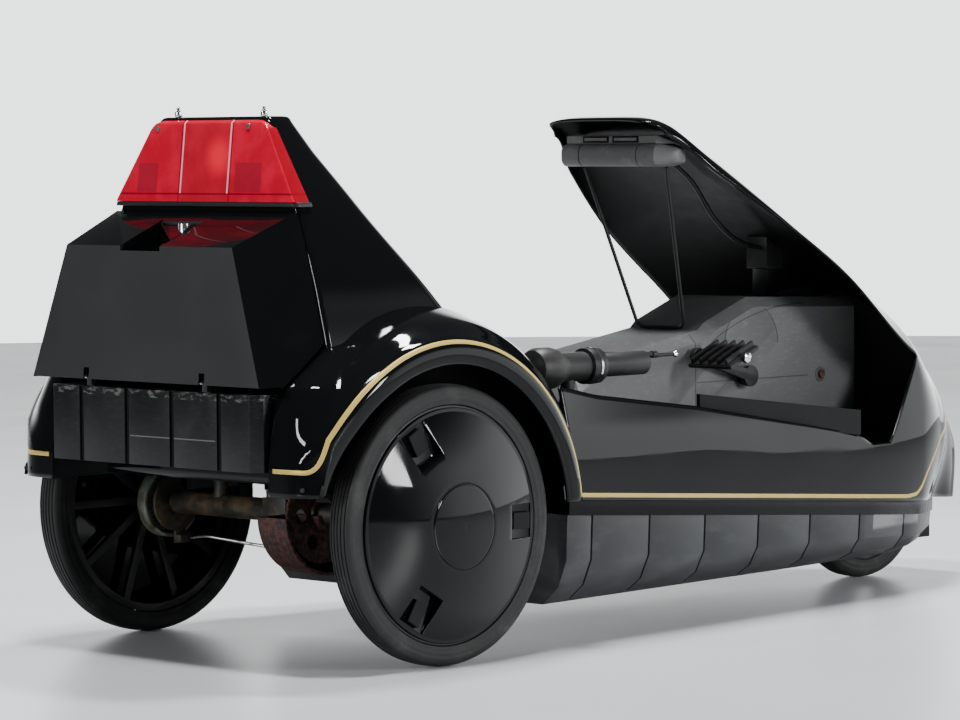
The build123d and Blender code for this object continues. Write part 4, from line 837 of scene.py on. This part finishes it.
# %% Small parts and their finishes
DRESSED = [
    # CAD node, finish, material slot, body, bevel in millimetres
    ("rear_panel", panel_finish, "panel_black", "body", 2.0),
    ("tail_lamp_base", black, "panel_black", "body", 1.0),
    ("tail_lamp_knobs", chrome, "chrome", "body", 0.8),
    ("belt_strip", belt_finish, "belt_black", "body", 0.8),
    ("lower_shell", skirt, "skirt_grey", "body", 1.5),
    ("console", console_finish, "console_grey", "body", 1.5),
    ("seat_base", inner, "panel_black", "body", 2.0),
    ("front_bulkhead", inner, "panel_black", "body", 1.5),
    ("wheel_housing", inner, "panel_black", "body", 1.0),
    ("boot_floor", inner, "panel_black", "body", 1.0),
    ("chassis_frame", frame_finish, "frame_black", "body", 0.8),
    ("gear_case", rust, "frame_rust", "body", 0.8),
    ("drive_gear", rust, "frame_rust", "body", 0.3),
    ("brake_plate", frame_finish, "frame_black", "body", 0.5),
    ("brake_rod", steel, "steel", "body", 0),
    ("battery", black, "battery_grey", "body", 1.5),
    ("headlamp", black, "lamp_clear", "body", 1.5),
    ("stay_wire", black, "steel", "body", 0),
    ("junction_post", black, "panel_black", "body", 1.5),
    ("pod_cable", black, "grip", "body", 0),
    ("rim_left", black, "rim_black", "wheel_left", 0.6),
    ("rim_right", black, "rim_black", "wheel_right", 0.6),
    ("brake_drum", drum_finish, "drum_grey", "wheel_left", 0.8),
    ("rim_front", black, "rim_black", "wheel_front", 0.6),
    ("fork", frame_finish, "frame_black", "fork", 0.6),
    ("head_nut", steel, "steel", "fork", 0.5),
    ("handlebar", black, "frame_black", "handlebar", 0.6),
    ("handlebar_grips", grip_finish, "grip", "handlebar", 1.0),
    ("bar_clamps", black, "clamp_black", "handlebar", 1.0),
    ("brake_levers", black, "clamp_black", "handlebar", 0),
    ("crankset", black, "steel", "crank", 0.6),
    ("lid_lock", chrome, "chrome", "boot_lid", 0.4),
]
for node, finish, slot_name, body, width in DRESSED:
    fit(softened(node, finish, width), body, slot_name, node)
print("dressed parts", len(DRESSED))

# %% [markdown]
# ## Lamp lens
# The lens is one block of red acrylic across the tower's top. Its half width shrinks with height and its
# upper corners are rounded, so a stack of rounded rectangles makes it. The ribs, reflector squares and the
# step near its foot are drawn by its finish, which reads the place on the piece.

# %% Lens
LENS_TOP, LENS_ROUND = 774.0, 16  # height of its top, and radius of its upper corners
LENS_BACK, LENS_FRONT = -756, -726


def lens_half(z):
    """Half width at a height: a straight slope that ends in a rounded corner."""
    over = max(0.0, z - (LENS_TOP - LENS_ROUND))
    return (LENS_HALF - LENS_SLOPE * (z - LENS_LOW)
            - (LENS_ROUND - sqrt(max(0.0, LENS_ROUND ** 2 - over * over))))


rows = []
for z in spread(LENS_LOW, LENS_TOP, 60):
    # the back leans forward, and more so at the top
    back = LENS_BACK + 13 * (z - LENS_LOW) / 114.7 + max(0.0, z - 770) * 1.2
    rows.append(round_ring(z, back, LENS_FRONT, lens_half(z) - 0.01, 4, 2, steps=4))
bm = bmesh.new()
grid(bm, rows, close_rows=True, caps=(0, -1))
lamp = finish_mesh("lamp_lens", bm, lens, smooth=35)
fit(lamp, "body", "lens_red", "tail_lamp_lens")
for y, z in ((110, 762), (-88, 765)):
    screw = turned("lens_screw_" + str(y), [(-1, 0), (-1, 4), (1, 4), (1, 0)], steel, (-744.5, y, z),
                   steps=24, along="x")
    fit(screw, "body", "steel")
print("lens faces", len(lamp.data.polygons))

# %% [markdown]
# ## Copies round an axle and along a line
# Clips, bolts and ribs repeat. Two small Geometry Nodes trees place copies of one piece, either round an
# axle along Y or along a straight line; the result is then made into a plain mesh.

# %% Two trees that place copies
def start_tree(name, inputs):
    """A new tree with named inputs, the identifiers that a modifier needs, and the inputs inside it."""
    tree = bpy.data.node_groups.new(name, "GeometryNodeTree")
    sockets = {label: tree.interface.new_socket(label, in_out="INPUT", socket_type=kind).identifier
               for label, kind in inputs}
    tree.interface.new_socket("Geometry", in_out="OUTPUT", socket_type="NodeSocketGeometry")
    return tree, sockets, tree.nodes.new("NodeGroupInput").outputs


def add_node(tree, kind, links=None, **settings):
    """A node with its settings, then values or links for its inputs."""
    made = tree.nodes.new(kind)
    for key, value in settings.items():
        setattr(made, key, value)
    for key, value in (links or {}).items():
        if isinstance(value, bpy.types.NodeSocket):
            tree.links.new(value, made.inputs[key])
        else:
            made.inputs[key].default_value = value
    return made


def result(tree, kind, operation, *values, **more):
    """The result of a Math or Vector Math node on values or sockets."""
    return add_node(tree, kind, {**dict(enumerate(values)), **more}, operation=operation).outputs[0]


def close_tree(tree, given, places, rotation=None):
    """Copies of the given piece at the places, as one mesh with the given finish."""
    points = add_node(tree, "GeometryNodePoints", {"Count": given["Count"], "Position": places})
    piece = add_node(tree, "GeometryNodeObjectInfo", {"Object": given["Piece"]})
    links = {"Points": points.outputs[0], "Instance": piece.outputs["Geometry"]}
    if rotation:
        links["Rotation"] = rotation
    copies = add_node(tree, "GeometryNodeInstanceOnPoints", links)
    real = add_node(tree, "GeometryNodeRealizeInstances", {"Geometry": copies.outputs[0]})
    painted = add_node(tree, "GeometryNodeSetMaterial",
                       {"Geometry": real.outputs[0], "Material": given["Finish"]})
    tree.links.new(painted.outputs[0], add_node(tree, "NodeGroupOutput").inputs[0])


COMMON = [("Piece", "NodeSocketObject"), ("Finish", "NodeSocketMaterial"), ("Count", "NodeSocketInt")]
MATH, VECTOR, COMBINE = "ShaderNodeMath", "ShaderNodeVectorMath", "ShaderNodeCombineXYZ"
around, around_sockets, given = start_tree("around_axle", COMMON + [
    ("Radius", "NodeSocketFloat"), ("First", "NodeSocketFloat"), ("Centre", "NodeSocketVector")])
index = add_node(around, "GeometryNodeInputIndex").outputs[0]
share = result(around, MATH, "DIVIDE", index, given["Count"])
angle = result(around, MATH, "MULTIPLY_ADD", share, 2 * pi, given["First"])
cosine, sine = (result(around, MATH, operation, angle) for operation in ("COSINE", "SINE"))
spoke = add_node(around, COMBINE, {0: cosine, 2: sine}).outputs[0]
spoke = result(around, VECTOR, "SCALE", spoke, Scale=given["Radius"])
turn = add_node(around, COMBINE, {1: result(around, MATH, "MULTIPLY", angle, -1.0)}).outputs[0]
close_tree(around, given, result(around, VECTOR, "ADD", spoke, given["Centre"]), turn)

along_line, line_sockets, given = start_tree("along_line", COMMON + [
    ("Start", "NodeSocketVector"), ("Step", "NodeSocketVector")])
index = add_node(along_line, "GeometryNodeInputIndex").outputs[0]
way = result(along_line, VECTOR, "SCALE", given["Step"], Scale=index)
close_tree(along_line, given, result(along_line, VECTOR, "ADD", way, given["Start"]))
print("trees", [tree.name for tree in bpy.data.node_groups])


# %% A small block to repeat, and the call that repeats it
def block(size, bevel=0.8, turn=0.0):
    """A small bevelled block about the origin, in millimetres, tilted about Y by turn degrees."""
    bm = cuboid(size)
    bmesh.ops.bevel(bm, geom=bm.edges[:], offset=bevel, segments=2, affect="EDGES")
    bmesh.ops.rotate(bm, matrix=Matrix.Rotation(radians(turn), 3, "Y"), verts=bm.verts)
    return finish_mesh("stamp", bm, black, smooth=30)


def repeat(name, tree, sockets, stamp, finish, body, slot_name, **values):
    """Runs a tree on an empty mesh and keeps the result as one piece."""
    piece = add_object(name, bpy.data.meshes.new(name))
    modifier = modify(piece, "NODES", node_group=tree)
    for label, value in {"Piece": stamp, "Finish": finish.material, **values}.items():
        modifier[sockets[label]] = value
    piece.update_tag()
    settle(piece)
    bpy.data.objects.remove(stamp)
    piece.data.set_sharp_from_angle(angle=radians(35))
    fit(piece, body, slot_name)
    print(name, "faces", len(piece.data.polygons))


# %% [markdown]
# ## Wheels
# A tyre is one profile turned about the axle: a tread with fine grooves, a rounded shoulder and a side
# wall with two shallow ripples. The cover is a turned dome with a ring line; three clip pockets are
# carved out of it while it is still solid, so each keeps a floor, and a clip sits on each floor.

# %% Tyres
def tyre(name, centre, radius, bead, half, wheel):
    """A tyre on a wheel, whose CAD node it stands for; half is its half width at the widest."""
    scale = half / 21
    tread = []
    for groove in (-13, -6.5, 0, 6.5, 13):
        for d, depth in ((-1.1, 0), (-0.7, 1.8), (0.7, 1.8), (1.1, 0)):
            y = (groove + d) * scale
            tread.append((y, radius - depth - 0.006 * y * y))
    flank = [(17.5, -2.4), (19.6, -6), (20.7, -10.5), (21, -13), (20.3, -14.8), (20.9, -17), (20.9, -20),
             (20.1, -23), (19.2, -24.6), (19.7, -26), (18.6, -28.6)]
    flank = [(d * scale, radius + drop) for d, drop in flank] + [(15 * scale, bead + 0.3)]
    profile = [(-d, r) for d, r in reversed(flank)] + tread + flank
    piece = turned(name, profile, rubber, centre, closed=True, smooth=50)
    fit(piece, "wheel_" + wheel, "tyre", "tyre_" + wheel)
    print(name, "faces", len(piece.data.polygons))


tyre("front_tyre", (FRONT_X, 0, FRONT_Z), 150, 122, 20, "front")

# %% Rear tyres and wheel covers
COVER_Y, DOME = 335, 36  # half width where a cover starts, and how far it stands out at the axle
CLIP_R, CLIP_FIRST = 144.0, -1.0  # the clips' distance from the axle, and the first one's angle
radii = [0.01, 8, 16, 24, 32, 40, 48, 56, 59.4, 59.8, 61.0, 61.4, 68, 78, 88, 98, 108, 118, 128, 138, 146,
         153, 158, 161]


def dome(r):
    """How far the cover stands out at a radius, with a ring line round its middle part."""
    line = 0.9 if 59.6 < r < 61.2 else 0.0
    return DOME - (0.0013955 * r * r - 7.61e-9 * r ** 4) - line + (0.5 if r < 59.5 else 0)


for side, name in SIDES:
    tyre("tyre_ring_" + name, (AXLE_X, side * 318, AXLE_Z), 200, 170, 21, name)
    wheel = "wheel_" + name
    profile = [(dome(r), r) for r in radii] + [(4.6, 162), (4.8, 166), (3.6, 167), (0.4, 167), (0.4, 0.01)]
    cover = turned("wheel_cover_" + name, [(side * d, r) for d, r in profile], gloss,
                   (AXLE_X, side * COVER_Y, AXLE_Z), closed=True, smooth=35)
    for k in range(3):
        clip_pocket = cuboid((54, 60, 50), (CLIP_R - 12, side * (COVER_Y + 3 + 30), 0))
        turn = Matrix.Rotation(-radians(CLIP_FIRST + 120 * k), 3, "Y")
        bmesh.ops.rotate(clip_pocket, matrix=turn, verts=clip_pocket.verts)
        bmesh.ops.translate(clip_pocket, vec=(AXLE_X, 0, AXLE_Z), verts=clip_pocket.verts)
        carve(cover, clip_pocket)
    reshape(cover, "BEVEL", width=0.5 * MM, segments=2, limit_method="ANGLE", angle_limit=radians(40))
    cover.data.set_sharp_from_angle(angle=radians(40))
    fit(cover, wheel, "cover_black", "cover_" + name)
    repeat("clips_" + name, around, around_sockets, block((34, 6, 24)), inner, wheel, "cover_black",
           Count=3, Radius=(CLIP_R - 6) * MM, First=radians(CLIP_FIRST),
           Centre=(AXLE_X * MM, side * 0.3405, AXLE_Z * MM))
repeat("drum_marks", around, around_sockets, block((2.6, 1.6, 2.6), 0.5), black, "wheel_left", "drum_grey",
       Count=36, Radius=0.043, First=0.0, Centre=(AXLE_X * MM, 0.2625, AXLE_Z * MM))
print("cover faces", len(cover.data.polygons))

# %% [markdown]
# ## Pedals
# Each pedal is a plate with five ribs across it and a bright bolt at its outer end. The ribs are copies of
# one small block along a line, so their number and spacing stay two plain numbers.

# %% Pedals
PEDAL_Y = 160  # half width at a pedal's middle
for side, name, x, z, tilt in ((-1, "right", 186, 400, -24), (1, "left", 434, 324, 10)):
    pedal = "pedal_" + name
    plate = block((74, 90, 7), 1.5, tilt)
    plate.name = plate.data.name = "pedal_plate_" + name
    plate.data.transform(Matrix.Translation((x * MM, side * PEDAL_Y * MM, z * MM)))
    fit(plate, pedal, "rim_black", pedal)
    c, s = cos(radians(-tilt)), sin(radians(-tilt))
    repeat("pedal_ribs_" + name, along_line, line_sockets, block((70, 5, 11), 1.2, tilt), black, pedal,
           "rim_black", Count=5, Step=(0, 0.018, 0),
           Start=((x - 7 * s) * MM, (side * PEDAL_Y - 36) * MM, (z + 7 * c) * MM))
    profile = [(side * d, r) for d, r in ((0, 0), (0, 8), (3, 9), (7, 8), (9, 4), (9.5, 0))]
    bolt = turned("pedal_bolt_" + name, profile, chrome, (x, side * (PEDAL_Y + 45), z), steps=32)
    fit(bolt, pedal, "chrome")
print("bolt faces", len(bolt.data.polygons))

# %% [markdown]
# ## Gold lines
# A painted line follows the waist, climbs round each arch and turns along the foot behind the wheel. Each
# is a thin ribbon laid on the skin: the path gives places and outward directions, and the ribbon is
# slightly domed so that it never sinks into a curved panel.

# %% Ribbons on the skin
LINE_HALF, LINE_RISE = 3.7, 7.5  # half width of a line, and its height above the body's lower edge
LEAVES_X = 545  # ahead of this the line leaves the waist and climbs the nose
nose_line_z = Curve([LEAVES_X, 572, 592, 606, 627, 658, 695, 740, 793],
                    [waist_z(LEAVES_X) + LINE_RISE, 161.5, 172, 190, 210, 232, 251, 262, 268])


def ribbon(name, path):
    """A thin strip along a path of places and outward directions."""
    bm = bmesh.new()
    rows = []
    for i, (place, out) in enumerate(path):
        before, after = Vector(path[max(i - 1, 0)][0]), Vector(path[min(i + 1, len(path) - 1)][0])
        out = Vector(out).normalized()
        across = out.cross(after - before).normalized()
        rows.append([Vector(place) + across * LINE_HALF * t + out * (0.5 - 0.65 * t * t)
                     for t in (-1, -0.6, -0.2, 0.2, 0.6, 1)])
    grid(bm, rows)
    piece = finish_mesh(name, bm, gold, smooth=60)
    wall(piece, 0.3)
    fit(piece, "body", "body_gloss")
    print(name, "faces", len(piece.data.polygons))


def skin_y(x, z):
    """Half width of the skin at a place of its side."""
    if x < OPEN_X:
        return side_y(x, z)
    row = nose_row(x)
    for a, b in zip(row[:len(row) // 2], row[1:]):
        if min(a[2], b[2]) <= z <= max(a[2], b[2]) and a[2] != b[2]:
            return -(a[1] + (b[1] - a[1]) * (z - a[2]) / (b[2] - a[2]))
    return -row[0][1]


def waist_path(side):
    """Along the body's lower edge and up the nose."""
    path = []
    for x in spread(-328, 793, 180):
        z = waist_z(x) + LINE_RISE if x <= LEAVES_X else nose_line_z(x)
        y = skin_y(x, z)
        rise, run = skin_y(x, z + 2) - y, skin_y(x + 2, z) - y
        path.append(((x, side * y, z), (-run / 2, side, -rise / 2)))
    return path


def arch_path(side):
    """Up the front of the arch, over it and round to the foot behind the wheel."""
    turn_y = Curve(range(8), [347, 346, 345, 342.3, 335.6, 322, 300, 247])
    turn_angle = Curve(range(8), map(radians, (146, 149.5, 152.5, 155.9, 158.7, 160.3, 160.8, 160.9)))
    spots = [(347, radians(angle)) for angle in spread(5.5, 145.5, 100)]
    for k in range(1, 71):
        y, angle = turn_y(k / 10), turn_angle(k / 10)
        spots.append((y, foot_angle(y, 287.5, pi / 2, pi) if y < 318 else angle))
    path = []
    for k in range(len(spots)):
        group = spots[max(0, k - 4):k + 5] if 4 < k < len(spots) - 5 else [spots[k]]
        y, angle = (sum(part) / len(group) for part in zip(*group))
        place = Vector(arch_point(y, angle))
        beyond, beside = Vector(arch_point(y, angle + 0.004)), Vector(arch_point(y + 0.5, angle))
        out = (beyond - place).cross(beside - place)
        if out.y < 0 and y > 330 or out.x > 0 and y <= 330:
            out.negate()
        path.append(((place.x, side * place.y, place.z), (out.x, side * out.y, out.z)))
    return path


for side, name in SIDES:
    ribbon("waist_line_" + name, waist_path(side))
    ribbon("arch_line_" + name, arch_path(side))
    screw = turned("foot_screw_" + name, [(-2, 0.01), (-2, 3), (1, 3), (1.5, 0.01)], black,
                   (-843, side * 302, 264), steps=20, along="x")
    fit(screw, "body", "steel")

# %% [markdown]
# ## Cockpit
# The instrument pod hangs under the hood's lip: a grey bar in three parts with a narrower panel above it
# that has two windows. Both are sections along the car's width.

# %% Instrument pod
def bar(name, stations, finish, round_r, *stands_for):
    """Sections across the car: half width y, back x, front x, low z and high z."""
    bm = bmesh.new()
    rows = []
    for y, x0, x1, z0, z1 in stations:
        r = min(round_r, (z1 - z0) / 2.2)
        ring = []
        for cx, cz, start in ((x0 + r, z1 - r, 90), (x0 + r, z0 + r, 180)):
            ring += [(cx + r * cos(a), y, cz + r * sin(a))
                     for a in map(radians, spread(start, start + 90, 6))]
        rows.append(ring + [(x1, y, z0), (x1, y, z1)])
    grid(bm, rows, close_rows=True, caps=(0, -1))
    piece = finish_mesh(name, bm, finish)
    fit(piece, "body", "panel_black", *stands_for)


POD_HALF, POD_BACK, POD_FRONT, POD_LOW, POD_TOP = 124, 91, 139, 699.5, 735


def pod_row(y, shrink):
    """One section of the bar; its ends draw back and taper."""
    out = max(0.0, abs(y) - 100)
    low, high = POD_LOW + out * 0.25 + shrink, POD_TOP - out * 0.3 - shrink
    return y, POD_BACK + out * 1.15 + shrink, POD_FRONT, low, high


shrinks = [(y, 0) for y in (-118, -112, -106, -100, -30, 30, 100, 106, 112, 118)]
for side in (-1, 1):
    shrinks += [(side * POD_HALF, 3), (side * 122.5, 0.5)]
    shrinks += [(side * 62 + d, depth) for d, depth in ((-1.2, 0), (-0.9, 1.6), (0.9, 1.6), (1.2, 0))]
bar("pod_bar", [pod_row(*shrink) for shrink in sorted(shrinks)], pod_finish, 13, "instrument_pod")
bar("pod_top", [(y, back, POD_FRONT, POD_TOP, top)
                for y, back, top in ((-112, 124, 738), (-96, 100, 749), (96, 100, 749), (112, 124, 738))],
    pod_finish, 3)
for y in (-32, 32):
    for label, half, back, low, high, finish, round_r in (
            ("window_frame_", 28, 99.3, 737, 747.5, belt_finish, 0.8),
            ("window_glass_", 24, 98.6, 740, 745, pod_finish, 0.6)):
        ends = [(end, back, 104, low, high) for end in (y - half, y + half)]
        bar(label + str(y + 100), ends, finish, round_r)
print("sections of the bar", len(shrinks))

# %% [markdown]
# ## Handlebar trim
# Each grip ends in a stepped rubber sleeve with a bright ring, and each brake lever in a slim rod with a
# bright tip. All four are round, so each is a short profile turned about a line along the car.

# %% Sleeves, rings, lever ends and tips
GRIP_Y, GRIP_Z, LEVER_X, LEVER_Y, LEVER_Z = 236, 405, 20, 208, 412.5
sleeve = [(0, 0.01), (0, 20), (-2, 22), (-46, 22), (-52, 23), (-68, 30), (-76, 31.5), (-100, 31.5),
          (-108, 28), (-112, 18), (-113, 0.01)]
for side, name in SIDES:
    for label, profile, finish, centre in (
            ("bar_sleeve_", sleeve, grip_finish, (-214, side * GRIP_Y, GRIP_Z)),
            ("bar_ring_", [(0, 20), (0, 27.8), (3.5, 27.8), (3.5, 20)], chrome,
             (-201, side * GRIP_Y, GRIP_Z)),
            ("lever_end_", [(-52, 0.01), (-50, 3.4), (-6, 2.6), (-5, 0.01)], black,
             (LEVER_X, side * LEVER_Y, LEVER_Z)),
            ("lever_tip_", [(-5, 0.01), (-4, 3.5), (0, 5), (4, 3.5), (5, 0.01)], chrome,
             (LEVER_X, side * LEVER_Y, LEVER_Z))):
        piece = turned(label + name, profile, finish, centre, steps=48, along="x")
        fit(piece, "handlebar", "clamp_black")
print("the last lever tip has", len(piece.data.polygons), "faces")

# %% [markdown]
# ## Console screw and sill ridges
# A rusted screw with its washer holds the console, and a dark ridge stands below each sill. A ridge is one
# small rectangle that slides along the sill, so two rows of places are enough to describe it.

# %% Screw and ridges
for label, profile, finish, y in (
        ("console_screw", [(0, 0.01), (0, 5), (-1.5, 7), (-4, 6), (-4, 0.01)], rust, -91.5),
        ("console_washer", [(0, 0.01), (0, 12), (-1.5, 12), (-1.5, 0.01)], steel, -90)):
    fit(turned(label, profile, finish, (502, y, 356), steps=32), "body", "steel")
RIDGE_OUT, RIDGE_IN, RIDGE_DEEP = 262, 255, 40  # half widths of its two sides, and its height
for side, name in SIDES:
    bm = bmesh.new()
    outline = ((RIDGE_OUT, RIDGE_DEEP), (RIDGE_OUT, 0), (RIDGE_IN, 0), (RIDGE_IN, RIDGE_DEEP))
    grid(bm, [[(x, side * y, top - down) for y, down in outline]
              for x, top in zip(spread(17, 400, 20), spread(353, 309, 20))], close_rows=True, caps=(0, -1))
    ridge = finish_mesh("sill_ridge_" + name, bm, inner, smooth=30)
    fit(ridge, "body", "belt_black")
print("ridge faces", len(ridge.data.polygons))

# %% [markdown]
# ## Camera, floor and light
# Black gloss shows little but what it mirrors, so the light is planned as reflections: a bright side of the
# sky for the long highlights, two tall strips for the edges and two soft panels overhead, above a pale floor.

# %% Camera
camera_data = bpy.data.cameras.new("camera")
camera = add_object("camera", camera_data)
bpy.context.scene.camera = camera
camera_data.sensor_width, camera_data.sensor_fit = 36, "HORIZONTAL"
camera_data.lens = 153.4388
camera_data.clip_start, camera_data.clip_end = 0.05, 100
# the directions of the picture's right, its top and the view, then the camera's place in metres
right = Vector((0.7075851226, -0.7065931139, -0.0070331745))
up = Vector((0.0429331720, 0.0330544279, 0.9985309948))
forward = Vector((0.7053226474, 0.7068476329, -0.0537251051))
pose = Matrix((right, up, -forward)).transposed().to_4x4()
pose.translation = Vector((-4.626430823, -4.440471175, 0.743124087))
camera.matrix_world = pose
print("camera at", [round(v, 2) for v in pose.translation])

# %% Floor and sky
bm = bmesh.new()
bmesh.ops.create_circle(bm, cap_ends=True, segments=128, radius=9000)
floor_finish = Finish("studio_floor", base_color=(0.62, 0.64, 0.66))
floor_finish.set("Roughness", 0.28 + 0.1 * floor_finish.noise(3.0))
floor = finish_mesh("studio_floor", bm, floor_finish)
world = bpy.data.worlds.new("studio")
bpy.context.scene.world = world
world.use_nodes = True
sky = world.node_tree
where = add_node(sky, "ShaderNodeTexCoord").outputs["Generated"]
fades = []  # bright low down towards the nose, dark overhead and behind
for direction, low, high in (((0.98, 0.2, 0), -0.05, 0.6), ((0, 0, 1), 0.4, 0.2)):
    toward = add_node(sky, VECTOR, {0: where, 1: direction}, operation="DOT_PRODUCT").outputs["Value"]
    fade = add_node(sky, "ShaderNodeMapRange", {"Value": toward, "From Min": low, "From Max": high},
                    interpolation_type="SMOOTHSTEP")
    fades.append(fade.outputs["Result"])
SKY_BRIGHT, SKY_LEAST = 2.7, 0.09
level = result(sky, MATH, "MULTIPLY_ADD", result(sky, MATH, "MULTIPLY", *fades), SKY_BRIGHT, SKY_LEAST)
background = sky.nodes["Background"]
background.inputs["Color"].default_value = (0.93, 0.965, 0.975, 1)
sky.links.new(level, background.inputs["Strength"])
print("sky nodes", len(sky.nodes))


# %% Lamps
def softbox(name, place, target, size, watts):
    """A rectangular area lamp that points at a target."""
    data = bpy.data.lights.new(name, "AREA")
    data.shape = "RECTANGLE"
    data.size, data.size_y = size
    data.energy = watts
    lamp = add_object(name, data)
    lamp.location = place
    lamp.rotation_euler = (Vector(target) - Vector(place)).to_track_quat("-Z", "Y").to_euler()


softbox("left_strip", (-6.0, 0.6, 1.5), (-0.6, 0.2, 0.4), (0.4, 2.0), 130)
softbox("right_strip", (0.85, -5.5, 1.85), (-0.3, -0.3, 0.3), (0.6, 1.4), 170)
for number, place in enumerate(((-1.2, -0.6, 4.2), (1.0, 0.4, 4.2))):
    softbox("ceiling_" + str(number), place, (0, 0, 0.3), (0.9, 0.4), 190)
print("lamps", len(bpy.data.lights))
